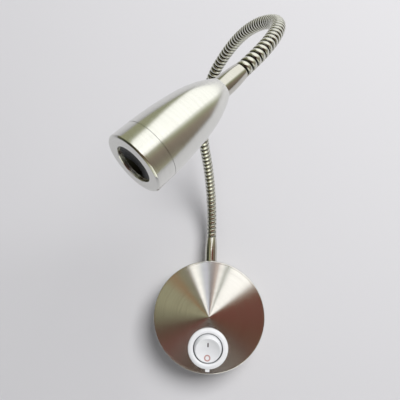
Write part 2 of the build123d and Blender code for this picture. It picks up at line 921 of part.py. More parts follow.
sleeve_depth = switch_back - tab_length / 2
with BuildPart() as tab_sleeves:
    with BuildSketch(facing_room(sleeve_depth - sleeve_length / 2)):
        with Locations((0, -switch_drop), (0, tab_spacing - switch_drop)):
            Rectangle(tab_width + 2 * sleeve_wall, tab_thickness + 2 * sleeve_wall)
            Rectangle(tab_width + 2 * push_clearance, tab_thickness + 2 * push_clearance, mode=Mode.SUBTRACT)
    extrude(amount=sleeve_length)
save(tab_sleeves, "tab_sleeves")


def make_wire(route, bend, name):
    """Insulated wire along straight runs that are joined by arcs of one radius."""
    with BuildPart() as wire:
        with BuildLine() as path:
            if len(route) > 2:
                FilletPolyline(*route, radius=bend)
            else:
                Line(*route)
        with BuildSketch(Plane(origin=path.line @ 0, z_dir=path.line % 0)):
            Circle(wire_radius)
        sweep(path=path.line)
    save(wire, name)


entry_depth = -entry.origin.Y
pole_rise = terminal_height / 4
pole_x = terminal_place[0] + wire_entry
low_pole = Vector(pole_x, -entry_depth, terminal_place[1] - pole_rise)
high_pole = Vector(pole_x, -entry_depth, terminal_place[1] + pole_rise)
switch_tab = Vector(-tab_width / 2 - sleeve_wall, -sleeve_depth, -switch_drop)
top_tab = Vector(0, -sleeve_depth, tab_spacing - switch_drop + tab_thickness / 2 + sleeve_wall)
neutral_x = -driver_width / 2 + wire_inset
make_wire(
    [
        low_pole,
        low_pole + Vector(wire_run, 0, 0),
        switch_tab - Vector(wire_lead_in, 0, 0),
        switch_tab,
    ],
    wire_bend,
    "live_lead",
)
make_wire(
    [
        high_pole,
        Vector(neutral_x, high_pole.Y, high_pole.Z),
        Vector(neutral_x, high_pole.Y, driver_foot),
    ],
    wire_bend,
    "neutral_lead",
)
make_wire([top_tab, Vector(0, -sleeve_depth, driver_foot)], wire_bend, "switched_lead")
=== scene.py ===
"""Bedside wall reading lamp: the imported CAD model, dressed for its render.

Lengths in the settings are metres. The frame is the CAD's: the wall is the plane y = 0, the room is
towards -Y and +Z is up.
"""

import json
from math import cos, pi, radians, sin, sqrt, tan

import bpy
import bmesh
import numpy as np
from mathutils import Matrix, Vector


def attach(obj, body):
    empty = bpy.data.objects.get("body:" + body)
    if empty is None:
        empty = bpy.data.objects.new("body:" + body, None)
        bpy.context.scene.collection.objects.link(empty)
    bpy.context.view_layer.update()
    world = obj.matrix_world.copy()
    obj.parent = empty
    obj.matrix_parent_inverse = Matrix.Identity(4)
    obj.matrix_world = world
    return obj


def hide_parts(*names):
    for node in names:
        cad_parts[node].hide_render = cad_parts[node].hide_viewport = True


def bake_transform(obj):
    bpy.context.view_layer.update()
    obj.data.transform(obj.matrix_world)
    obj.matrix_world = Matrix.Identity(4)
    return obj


bl_info = {
    "name": "Wall Reading Lamp",
    "version": (1, 0, 0),
    "blender": (4, 5, 0),
    "location": "View3D > Sidebar > Lamp",
    "description": "Builds the pieces, the finishes and the studio of a small wall reading lamp",
    "category": "Object",
}

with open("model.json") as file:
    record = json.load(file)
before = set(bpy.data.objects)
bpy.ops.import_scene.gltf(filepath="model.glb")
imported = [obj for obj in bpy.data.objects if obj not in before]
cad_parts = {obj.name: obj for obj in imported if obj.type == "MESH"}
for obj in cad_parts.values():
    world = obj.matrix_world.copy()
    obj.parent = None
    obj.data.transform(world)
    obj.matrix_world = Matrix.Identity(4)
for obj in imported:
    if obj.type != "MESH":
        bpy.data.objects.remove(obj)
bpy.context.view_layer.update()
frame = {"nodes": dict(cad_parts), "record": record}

MM = 0.001

# Points of a mesh that are closer together than this are merged
WELD = 0.001 * MM

# The turn of each length of the arm in degrees, and the way it turns, as an angle from the right-hand
# side (0) towards the wall (90) or the room (-90)
ARM_BENDS = [(32, -99), (15, -113), (18, 21), (31, -57), (26, -88), (18, -78), (40, -124), (31, -125)]

# ---- Settings -------------------------------------------------------------------------------


def linear(code):
    """Linear colour of an sRGB hex value."""
    shares = [int(code[place : place + 2], 16) / 255 for place in (1, 3, 5)]
    return tuple(s / 12.92 if s <= 0.04045 else ((s + 0.055) / 1.055) ** 2.4 for s in shares)


def tint(code):
    """Linear colour of an sRGB hex value, fully opaque."""
    return (*linear(code), 1)


def length(name, description, millimetres):
    """A length property whose default is given in millimetres."""
    return bpy.props.FloatProperty(
        name=name, description=description, default=millimetres * MM, unit="LENGTH", precision=5
    )


def colour(name, description, code):
    """A colour property whose default is an sRGB hex value."""
    return bpy.props.FloatVectorProperty(
        name=name, description=description, default=linear(code), subtype="COLOR", size=3, min=0.0, max=1.0
    )


def angle_setting(name, description, degrees):
    """An angle property whose default is given in degrees."""
    return bpy.props.FloatProperty(
        name=name, description=description, default=radians(degrees), subtype="ANGLE"
    )


class LampBaseSettings(bpy.types.PropertyGroup):
    """Sizes of the round base."""

    radius: length("Radius", "Outer radius of the cup", 40.0)
    depth: length("Depth", "Distance from the wall to the front face", 26.0)
    wall: length("Wall", "Thickness of the spun sheet", 1.6)
    edge: length("Edge", "Radius of the rounded front edge", 0.8)
    standoff: length("Standoff", "Gap between the rim and the wall", 0.5)
    spot: length("Spot face", "Depth of the flat that the arm's sleeve stands on", 0.6)
    screw_height: length("Screw height", "Distance of the side screws from the wall", 7.0)
    screw_hole: length("Screw hole", "Radius of the side holes", 1.6)
    rim: length("Rim", "Radius of the rounded rim", 0.15)
    inner_edge: length("Inner edge", "Radius inside the front edge", 1.0)


class LampSwitchSettings(bpy.types.PropertyGroup):
    """Sizes of the round rocker switch."""

    drop: length("Drop", "Distance of the switch below the middle of the base", 22.0)
    bezel_radius: length("Bezel radius", "Outer radius of the bezel", 14.5)
    bezel_height: length("Bezel height", "How far the bezel stands up", 1.8)
    body_radius: length("Body radius", "Radius of the body behind the face", 12.4)
    body_depth: length("Body depth", "Depth of the body behind the face", 15.0)
    body_floor: length("Body floor", "Thickness of the body's floor", 1.6)
    crest: length("Crest", "Distance of the bezel's crest from its inner edge", 1.5)
    crest_round: length("Crest rounding", "Radius of the domed crest", 3.0)
    bezel_drop: length("Bezel drop", "How far the bezel falls to its outer edge", 0.6)
    bezel_round: length("Bezel rounding", "Radius of the bezel's outer edge", 1.1)
    rocker_radius: length("Rocker radius", "Radius of the rocker's round edge", 10.3)
    gap: length("Gap", "Gap round the rocker", 0.4)
    face_radius: length("Face radius", "Radius of the rocker's face", 9.1)
    dish_radius: length("Dish radius", "Radius of the hollow in the rocker", 8.5)
    dish_depth: length("Dish depth", "Depth of the hollow in the rocker", 1.5)
    pivot_inset: length("Pivot inset", "Depth of the rocker's axis behind the face", 2.5)
    rocker_foot: length("Rocker foot", "Depth of the rocker's back behind its axis", 3.4)
    boss_radius: length("Boss radius", "Radius of the boss that holds the sprung pin", 2.3)
    boss_end: length("Boss end", "Depth of the boss's end behind the axis", 6.0)
    pin_bore: length("Pin bore", "Radius of the bore for the sprung pin", 1.15)
    pin_top: length("Pin top", "Height of the bore's end over the axis", 0.6)
    tilt: angle_setting("Tilt", "Lean of the rocker in its off place", 14)


class LampArmSettings(bpy.types.PropertyGroup):
    """Sizes of the gooseneck and of the sleeves at its ends."""

    height: length("Height", "Distance of the arm's foot from the wall", 13.0)
    link: length("Link", "Length of one of the eight CAD lengths", 34.375)
    pitch: length("Pitch", "Distance from one turn of the thread to the next", 3.125)
    radius: length("Radius", "Radius over the ridges", 3.5)
    groove: length("Groove radius", "Radius at the bottom of the grooves", 2.95)
    ridge: length("Ridge", "Half the width of a ridge", 1.4)
    opening: bpy.props.FloatProperty(
        name="Opening",
        description="Share of a ridge's width that opens up in the loop",
        default=0.22,
        subtype="FACTOR",
    )
    bore: length("Bore", "Radius of the inside", 2.1)
    plug: length("Plug", "How deep each end goes into its sleeve", 7.0)
    reach: length("Bend reach", "Half the length over which a bend spreads", 14.0)
    sleeve: length("Sleeve", "Length of a sleeve", 18.0)
    straight: length("Straight", "Length of a sleeve's straight part", 7.0)
    sleeve_radius: length("Sleeve radius", "Radius of a sleeve", 4.5)
    mouth_radius: length("Mouth radius", "Radius of a sleeve at its mouth", 3.65)
    stud_radius: length("Stud radius", "Radius of a sleeve's stud", 3.0)
    stud_length: length("Stud length", "Length of a sleeve's stud", 8.4)
    stud_bore: length("Stud bore", "Radius of the hole through a sleeve", 1.9)


class LampHeadSettings(bpy.types.PropertyGroup):
    """Sizes of the turned head."""

    size: length("Length", "Length of the head", 47.5)
    ring: length("Ring", "Length of the front ring", 9.0)
    sink: length("Sink", "How deep the sleeve goes into the head", 5.5)
    back_radius: length("Back radius", "Radius of the back end", 5.05)
    middle_radius: length("Middle radius", "Radius where the two arcs of the outline meet", 10.6)
    middle_height: length("Middle height", "Distance of that place from the back end", 16.3)
    seam_radius: length("Seam radius", "Radius at the seam", 12.7)
    front_radius: length("Front radius", "Radius at the front", 12.95)
    bevel: length("Bevel", "Size of the front bevel", 0.6)
    seam_gap: length("Seam gap", "Width of the seam", 0.15)
    thread_radius: length("Thread radius", "Radius of the ring's thread", 10.6)
    ring_bore: length("Ring bore", "Inner radius of the ring", 9.9)
    lip: length("Lip", "Thickness of the ring's lip", 1.6)
    window_radius: length("Window radius", "Radius of the opening", 8.15)
    chamber: length("Chamber", "Radius at the back of the hollow", 6.0)
    wall: length("Wall", "Thickness where the two arcs meet", 1.9)
    thread_start: length("Thread start", "Distance of the body's thread from the back end", 27.0)
    ring_back: length("Ring back", "Distance of the ring's thread from the back end", 34.1)


class LampLensSettings(bpy.types.PropertyGroup):
    """Sizes of the clear lens."""

    depth: length("Depth", "Length of the lens", 9.6)
    foot_radius: length("Foot radius", "Radius at the back", 4.2)
    flange: length("Flange", "Thickness of the flange", 1.4)
    step: length("Step", "Width of the step behind the flange", 0.5)
    dish_radius: length("Dish radius", "Radius of the hollow in the front", 7.9)
    dish_depth: length("Dish depth", "Depth of the hollow in the front", 2.4)
    hollow_depth: length("Hollow depth", "Depth of the hollow over the emitter", 3.6)
    hollow_side: length("Hollow side", "Depth of that hollow at its side", 3.0)
    hollow_radius: length("Hollow radius", "Radius of that hollow at its end", 2.2)
    hollow_mouth: length("Hollow mouth", "Radius of that hollow at the back", 2.7)


class LampStageSettings(bpy.types.PropertyGroup):
    """The camera and the studio."""

    place: bpy.props.FloatVectorProperty(
        name="Camera place",
        description="Where the camera stands",
        default=(3.4 * MM, -397.1 * MM, 44.0 * MM),
        subtype="TRANSLATION",
        unit="LENGTH",
        size=3,
    )
    yaw: angle_setting("Yaw", "Turn of the camera to the left", 1.95)
    pitch: angle_setting("Pitch", "Lift of the camera's view", 6.22)
    roll: angle_setting("Roll", "Roll of the camera", 1.93)
    lens: bpy.props.FloatProperty(
        name="Lens", description="Focal length on a 36 mm sensor", default=45.58, unit="CAMERA"
    )
    wall: colour("Wall", "Colour of the wall and the floor", "#d2d1d3")
    backdrop: colour("Backdrop", "What the camera sees past the wall", "#e4e4e6")
    daylight: colour("Daylight", "Colour of the light from all round", "#f4f5f8")
    even: bpy.props.FloatProperty(
        name="Even light", description="Strength of the light from all round", default=0.27
    )
    lamp_power: bpy.props.FloatProperty(
        name="Lamp power", description="Power of the soft lamp", default=23.5, unit="POWER"
    )
    lamp_size: length("Lamp size", "Side of the soft lamp", 750.0)
    lamp_distance: length("Lamp distance", "Distance of the soft lamp from the base", 1500.0)
    opening: length("Opening", "Radius of the hole in the wall behind the base", 38.0)


class LampSettings(bpy.types.PropertyGroup):
    """Everything that the lamp is made from."""

    base: bpy.props.PointerProperty(type=LampBaseSettings)
    switch: bpy.props.PointerProperty(type=LampSwitchSettings)
    arm: bpy.props.PointerProperty(type=LampArmSettings)
    head: bpy.props.PointerProperty(type=LampHeadSettings)
    lens: bpy.props.PointerProperty(type=LampLensSettings)
    stage: bpy.props.PointerProperty(type=LampStageSettings)


# ---- Shapes ---------------------------------------------------------------------------------


def grid(rows, columns):
    """Values along the rows and along the columns, each spread over the whole grid."""
    return np.meshgrid(rows, columns, indexing="ij")


def circle(count):
    """Angles of the points that divide a circle into count equal parts."""
    return np.linspace(0, 2 * pi, count, endpoint=False)


class Seat:
    """A place to turn a profile about: an origin, an axis and the side that angles start from."""

    def __init__(self, origin, axis, side):
        self.origin = np.array(origin, float)
        self.axis = np.array(axis, float)
        self.side = np.array(side, float)
        self.across = np.cross(self.axis, self.side)

    def raised(self, height):
        """The same seat, moved along its axis."""
        return Seat(self.origin + self.axis * height, self.axis, self.side)


def arc_to(start, direction, end, steps):
    """Arc that leaves start along direction and ends at end, and its direction there.

    With t the direction, n the same turned a quarter and d = end - start, the curvature is
    2 n.d / d.d, and a point is start + (t sin a + n (1 - cos a)) / curvature.
    """
    start, end = np.array(start, float), np.array(end, float)
    along = np.array(direction, float)
    along /= np.hypot(*along)
    beside = np.array([-along[1], along[0]])
    reach = end - start
    curvature = 2 * (beside @ reach) / (reach @ reach)
    turn = 2 * np.arctan2(beside @ reach, along @ reach)
    angle = np.linspace(0, turn, steps + 1)[:, None]
    points = start + (along * np.sin(angle) + beside * (1 - np.cos(angle))) / curvature
    return points, along * cos(turn) + beside * sin(turn)


def rounded(corners, steps=5, run=2.5 * MM):
    """Outline through corners (radius, height, rounding), each rounded by a tangent arc.

    The tangent length of a corner is rounding * tan(turn / 2), and straight runs are divided so that
    no step is longer than run.
    """
    places = [np.array(corner[:2], float) for corner in corners]
    pieces = []
    for index, place in enumerate(places):
        rounding = corners[index][2] if len(corners[index]) > 2 else 0
        if rounding == 0 or index in (0, len(places) - 1):
            pieces.append(place[None, :])
            continue
        back = places[index - 1] - place
        ahead = places[index + 1] - place
        back, ahead = back / np.hypot(*back), ahead / np.hypot(*ahead)
        turn = pi - np.arccos(np.clip(back @ ahead, -1, 1))
        tangent = rounding * tan(turn / 2)
        pieces.append(arc_to(place + back * tangent, -back, place + ahead * tangent, steps)[0])
    line = np.concatenate(pieces)
    gaps = np.hypot(*np.diff(line, axis=0).T)
    counts = np.maximum(1, np.ceil(gaps / run)).astype(int)
    marks = np.concatenate([[0], np.cumsum(counts)])
    stations = np.arange(marks[-1] + 1)
    return np.stack([np.interp(stations, marks, part) for part in line.T], axis=1)


def surface(name, points, pattern=None, close_rows=False, sharp=38, attribute=None):
    """Piece whose skin is a grid of points, rows by columns, closed round its columns.

    pattern gives the UV of each grid corner, with one more column and one more row than points has, so
    that it never runs backwards where the grid closes. Without it the UV goes evenly from 0 to 1.
    Points that fall together, as at a pole, are merged, and the faces are turned outwards.
    """
    rows, columns = points.shape[:2]
    if pattern is None:
        pattern = np.stack(grid(np.linspace(0, 1, rows + 1), np.linspace(0, 1, columns + 1)), axis=-1)
    row, column = grid(np.arange(rows if close_rows else rows - 1), np.arange(columns))
    corners = [(row, column), (row, column + 1), (row + 1, column + 1), (row + 1, column)]
    quads = np.stack([(r % rows) * columns + c % columns for r, c in corners], axis=-1).reshape(-1, 4)
    mesh = bpy.data.meshes.new(name)
    mesh.from_pydata(points.reshape(-1, 3).tolist(), [], quads.tolist())
    layer = mesh.uv_layers.new(name="Turned")
    layer.uv.foreach_set("vector", np.stack([pattern[r, c] for r, c in corners], axis=2).ravel())
    # The depth at each point, which the steel strip's finish turns into painted shade
    if attribute is not None:
        values = mesh.attributes.new(name="depth", type="FLOAT", domain="POINT")
        values.data.foreach_set("value", attribute.ravel())
    net = bmesh.new()
    net.from_mesh(mesh)
    bmesh.ops.remove_doubles(net, verts=net.verts, dist=WELD)
    bmesh.ops.recalc_face_normals(net, faces=net.faces)
    net.to_mesh(mesh)
    net.free()
    smooth(mesh, sharp)
    piece = bpy.data.objects.new(name, mesh)
    bpy.context.scene.collection.objects.link(piece)
    return piece


def smooth(mesh, sharp):
    """Shades a mesh smooth but for edges that turn by more than sharp degrees."""
    mesh.polygons.foreach_set("use_smooth", np.ones(len(mesh.polygons), bool))
    mesh.set_sharp_from_angle(angle=radians(sharp))
    mesh.update()


def lathe(name, profile, seat, columns=128, close=False, sharp=38):
    """Piece turned about a seat's axis from a profile of (radius, height) rows.

    A point is origin + axis * height + (side cos a + across sin a) * radius. U is the distance along
    the profile and V the share of the turn.
    """
    turn = circle(columns)[:, None]
    around = np.cos(turn) * seat.side + np.sin(turn) * seat.across
    middle = seat.origin + profile[:, 1, None] * seat.axis
    points = middle[:, None, :] + profile[:, 0, None, None] * around[None, :, :]
    loop = np.concatenate([profile, profile[:1]])
    travel = np.concatenate([[0], np.cumsum(np.hypot(*np.diff(loop, axis=0).T))])
    pattern = np.stack(grid(travel, np.linspace(0, 1, columns + 1)), axis=-1)
    return surface(name, points, pattern, close_rows=close, sharp=sharp)


def cut(piece, seats, radius, depth, sharp=38):
    """Cuts round holes into a piece, each from a seat down along its axis."""
    outline = np.array([[0, 0], [radius, 0], [radius, -depth], [0, -depth]])
    for place, seat in enumerate(seats):
        tool = lathe(f"tool_{place}", outline, seat, columns=96)
        step = piece.modifiers.new("Hole", "BOOLEAN")
        step.operation = "DIFFERENCE"
        step.solver = "EXACT"
        step.object = tool
        bpy.context.view_layer.update()
        finished = piece.evaluated_get(bpy.context.evaluated_depsgraph_get())
        mesh = bpy.data.meshes.new_from_object(finished)
        piece.modifiers.clear()
        piece.data = mesh
        bpy.data.objects.remove(tool)
    smooth(piece.data, sharp)


def dress(piece, body, slot, *nodes, ink=None):
    """Gives a piece the finish of its slot and its body, and hides the CAD nodes that it stands for.

    A piece with no body is left unattached. ink is the finish of a printed mark.
    """
    piece.data.materials.clear()
    piece.data.materials.append(finish(ink or slot))
    if body:
        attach(piece, body)
    if nodes:
        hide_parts(*nodes)


# ---- The arm's path ---------------------------------------------------------------------------


def turned(vectors, axis, angle):
    """Vectors turned about an axis: v cos a + (axis x v) sin a + axis (axis . v)(1 - cos a)."""
    angle = np.asarray(angle)[..., None]
    along = (vectors @ axis)[..., None] * axis
    return vectors * np.cos(angle) + np.cross(axis, vectors) * np.sin(angle) + along * (1 - np.cos(angle))


def arm_lengths(settings):
    """The eight arcs of the arm, each as its start, its side, across and forward axes, and its turn."""
    arm, base = settings.arm, settings.base
    place = np.array([0, -arm.height, base.radius - base.spot + arm.sleeve])
    axes = np.eye(3)
    lengths = []
    for bend, heading in ARM_BENDS:
        turn = radians(bend)
        inward = axes[0] * cos(radians(heading)) + axes[1] * sin(radians(heading))
        side = np.cross(axes[2], inward)
        lengths.append((place, axes, inward, side, turn))
        radius = arm.link / turn
        place = place + inward * radius * (1 - cos(turn)) + axes[2] * radius * sin(turn)
        axes = turned(axes, side, turn)
    return lengths, place, axes


def arm_sections(settings, distance):
    """Centres and the two square-on axes of the arm's sections, for an array of distances.

    Within a length of radius R the centre is start + inward R (1 - cos a) + forward R sin a with
    a = distance / R, and the axes turn by a about the length's side. Past the ends the path is straight.
    """
    lengths, _, _ = arm_lengths(settings)
    link = settings.arm.link
    centre = np.zeros(distance.shape + (3,))
    right = np.zeros(distance.shape + (3,))
    across = np.zeros(distance.shape + (3,))
    number = np.clip(np.floor(distance / link), 0, len(lengths) - 1)
    for index, (place, axes, inward, side, turn) in enumerate(lengths):
        here = number == index
        travel = distance[here] - index * link
        inside = np.clip(travel, 0, link)
        angle = inside / link * turn
        radius = link / turn
        forward = turned(np.broadcast_to(axes[2], angle.shape + (3,)), side, angle)
        arc = inward * (radius * (1 - np.cos(angle)))[:, None] + axes[2] * (radius * np.sin(angle))[:, None]
        centre[here] = place + arc + forward * (travel - inside)[:, None]
        right[here] = turned(np.broadcast_to(axes[0], angle.shape + (3,)), side, angle)
        across[here] = turned(np.broadcast_to(axes[1], angle.shape + (3,)), side, angle)
    return centre, right, across


def arm_end(settings):
    """Seat at the far end of the arm, whose axis points on into the head."""
    _, place, axes = arm_lengths(settings)
    return Seat(place, axes[2], axes[0])


# ---- Materials ------------------------------------------------------------------------------


def node(tree, kind, settings=None, inputs=None):
    """Adds a shader node. settings are its own properties, inputs are values or other nodes' outputs."""
    made = tree.nodes.new("ShaderNode" + kind)
    for key, value in (settings or {}).items():
        setattr(made, key, value)
    for key, value in (inputs or {}).items():
        if isinstance(value, bpy.types.NodeSocket):
            tree.links.new(value, made.inputs[key])
        else:
            made.inputs[key].default_value = value
    return made


# The height that a relief of 1 stands for
RELIEF = 0.02 * MM

# Where most values of a noise lie
NOISE_SPAN = {"From Min": 0.3, "From Max": 0.7}

# How many grains wide the broad clouds are, on turned metal and on a plain finish
TURNED_CLOUDS = 8
PLAIN_CLOUDS = 12

# Radius of the circle in the noise that turned marks follow round their axis, for marks and clouds
MARK_SWEEP = 1.2
CLOUD_SWEEP = 0.7


def fresh(name):
    """New material and its empty tree."""
    material = bpy.data.materials.new(name)
    material.use_nodes = True
    material.node_tree.nodes.clear()
    return material, material.node_tree


def grained(tree, fine, broad, pale, dark, rough, swing, detail):
    """Height of a fine grain, the tone from broad clouds, and the roughness from the grain.

    fine and broad each hold coordinates and a scale. The roughness goes from swing[0] under rough to
    swing[1] over it.
    """
    grain = node(tree, "TexNoise", {}, {"Vector": fine[0], "Scale": fine[1], "Detail": detail})
    clouds = node(tree, "TexNoise", {}, {"Vector": broad[0], "Scale": broad[1], "Detail": 2.0})
    tone = node(tree, "Mix", {"data_type": "RGBA"}, {0: clouds.outputs[0], 6: tint(dark), 7: tint(pale)})
    limits = {"To Min": rough - swing[0], "To Max": rough + swing[1], **NOISE_SPAN}
    spread = node(tree, "MapRange", {}, {"Value": grain.outputs[0], **limits})
    return grain.outputs[0], tone.outputs[2], spread.outputs[0]


def turned_pattern(tree, lines, sweep):
    """Coordinates that follow turned marks: fine along the profile, coarse and seamless round it.

    X is U * lines, and Y and Z are the cosine and sine of the turn times sweep.
    """
    place = node(tree, "UVMap", {"uv_map": "Turned"})
    parts = node(tree, "SeparateXYZ", {}, {0: place.outputs[0]})
    turn = node(tree, "Math", {"operation": "MULTIPLY"}, {0: parts.outputs["Y"], 1: 2 * pi})
    level = node(tree, "Math", {"operation": "COSINE"}, {0: turn.outputs[0]})
    lift = node(tree, "Math", {"operation": "SINE"}, {0: turn.outputs[0]})
    ways = {"X": parts.outputs["X"], "Y": level.outputs[0], "Z": lift.outputs[0]}
    joined = node(tree, "CombineXYZ", {}, ways)
    sizes = {0: joined.outputs[0], 1: (lines, sweep, sweep)}
    return node(tree, "VectorMath", {"operation": "MULTIPLY"}, sizes).outputs[0]


def turned_metal(name, pale, dark, rough, grain, stretch, relief, fall=0.0, reach=1.0):
    """Metal turned or spun on a lathe: its marks run round, so light is drawn out along the profile.

    grain is the distance between marks in millimetres, and stretch is how far they draw the light out.
    fall is the slope of a very shallow cone that the face is spun to, out to a distance of reach.
    """
    material, tree = fresh(name)
    fine = (turned_pattern(tree, 1 / (grain * MM), MARK_SWEEP), 1.0)
    broad = (turned_pattern(tree, 1 / (TURNED_CLOUDS * grain * MM), CLOUD_SWEEP), 1.0)
    swing = (0.03, 0.04)
    marks, tone, spread = grained(tree, fine, broad, pale, dark, rough, swing, detail=3.0)
    place = node(tree, "UVMap", {"uv_map": "Turned"})
    parts = node(tree, "SeparateXYZ", {}, {0: place.outputs[0]})
    out = node(tree, "Math", {"operation": "MINIMUM"}, {0: parts.outputs["X"], 1: reach})
    cone = node(tree, "Math", {"operation": "MULTIPLY"}, {0: out.outputs[0], 1: -fall})
    rise = {0: marks, 1: relief * RELIEF, 2: cone.outputs[0]}
    height = node(tree, "Math", {"operation": "MULTIPLY_ADD"}, rise)
    bump = node(tree, "Bump", {}, {"Height": height.outputs[0], "Strength": 1.0, "Distance": 1.0})
    along = node(tree, "Tangent", {"direction_type": "UV_MAP", "uv_map": "Turned"})
    inputs = {
        "Base Color": tone,
        "Metallic": 1.0,
        "Roughness": spread,
        "Anisotropic": stretch,
        "Tangent": along.outputs[0],
        "Normal": bump.outputs[0],
    }
    shader = node(tree, "BsdfPrincipled", {}, inputs)
    node(tree, "OutputMaterial", {}, {0: shader.outputs[0]})
    return material


def polished_steel_strip():
    """Steel strip, polished and wound with a thread: bright ridges, with painted shade that darkens the
    grooves and the bore by their depth.
    """
    material, tree = fresh("polished_steel_strip")
    painted_groove_shade = node(tree, "Attribute", {"attribute_name": "depth"})
    place = node(tree, "TexCoord").outputs["Object"]
    # Finger smears some 4 mm across
    smears = node(tree, "TexNoise", {}, {"Vector": place, "Scale": 1 / (3.85 * MM), "Detail": 3.0})
    # Painted shade: the deeper a point lies in a groove or in the bore, the nearer its colour is to the
    # dark tone
    tones = {0: painted_groove_shade.outputs["Fac"], 6: tint("#d6d6cc"), 7: tint("#1f1f18")}
    tone = node(tree, "Mix", {"data_type": "RGBA"}, tones)
    limits = {"To Min": 0.2, "To Max": 0.32, **NOISE_SPAN}
    worn = node(tree, "MapRange", {}, {"Value": smears.outputs[0], **limits})
    inputs = {"Base Color": tone.outputs[2], "Metallic": 1.0, "Roughness": worn.outputs[0]}
    shader = node(tree, "BsdfPrincipled", {}, inputs)
    node(tree, "OutputMaterial", {}, {0: shader.outputs[0]})
    return material


def clear_acrylic():
    """Moulded optic of clear acrylic: polished, with a trace of flow marks, and tinted dark grey as painted
    shade, so that the head's opening reads dark.
    """
    material, tree = fresh("clear_acrylic")
    place = node(tree, "TexCoord").outputs["Object"]
    # Flow marks some 6 mm apart
    flow = node(tree, "TexNoise", {}, {"Vector": place, "Scale": 1 / (5.55 * MM), "Detail": 2.0})
    spread = node(tree, "MapRange", {}, {"Value": flow.outputs[0], "To Min": 0.01, "To Max": 0.07})
    inputs = {
        # Painted shade: a dark grey tint on the clear optic
        "Base Color": tint("#4a4a46"),
        "Transmission Weight": 1.0,
        "Specular IOR Level": 0.15,
        "IOR": 1.49,
        "Roughness": spread.outputs[0],
    }
    shader = node(tree, "BsdfPrincipled", {}, inputs)
    node(tree, "OutputMaterial", {}, {0: shader.outputs[0]})
    return material


def plain_finish(name, pale, dark, metallic, rough, size, relief, coat=0.0):
    """Finish with a fine cast, plated or moulded grain over two close tones.

    size is the grain's in millimetres.
    """
    material, tree = fresh(name)
    place = node(tree, "TexCoord").outputs["Object"]
    fine, broad = (place, 1 / (size * MM)), (place, 1 / (PLAIN_CLOUDS * size * MM))
    swing = (0.04, 0.05)
    grain, tone, spread = grained(tree, fine, broad, pale, dark, rough, swing, detail=4.0)
    bump = node(tree, "Bump", {}, {"Height": grain, "Strength": relief, "Distance": RELIEF})
    inputs = {
        "Base Color": tone,
        "Metallic": metallic,
        "Roughness": spread,
        "Coat Weight": coat,
        "Normal": bump.outputs[0],
    }
    shader = node(tree, "BsdfPrincipled", {}, inputs)
    node(tree, "OutputMaterial", {}, {0: shader.outputs[0]})
    return material


def spun_satin_steel():
    """Stainless sheet spun to a cup and brushed while it turns: a fan of light and dark sectors."""
    return turned_metal(
        "spun_satin_steel",
        pale="#dcdad8",
        dark="#d0cecb",
        rough=0.2,
        grain=0.15,
        stretch=1.0,
        relief=0.05,
        fall=0.17,
        reach=38.5 * MM,
    )


def turned_satin_aluminium():
    """Aluminium bar turned with a fine feed: nearly a mirror along its length, with faint rings."""
    return turned_metal(
        "turned_satin_aluminium",
        pale="#e6e6e2",
        dark="#dadad5",
        rough=0.17,
        grain=0.15,
        stretch=0.92,
        relief=0.05,
    )


def bright_nickel_plate():
    """Nickel plate over polished brass: a soft mirror."""
    return turned_metal(
        "bright_nickel_plate",
        pale="#cfcdc6",
        dark="#c3c1b9",
        rough=0.13,
        grain=0.15,
        stretch=0.5,
        relief=0.04,
    )


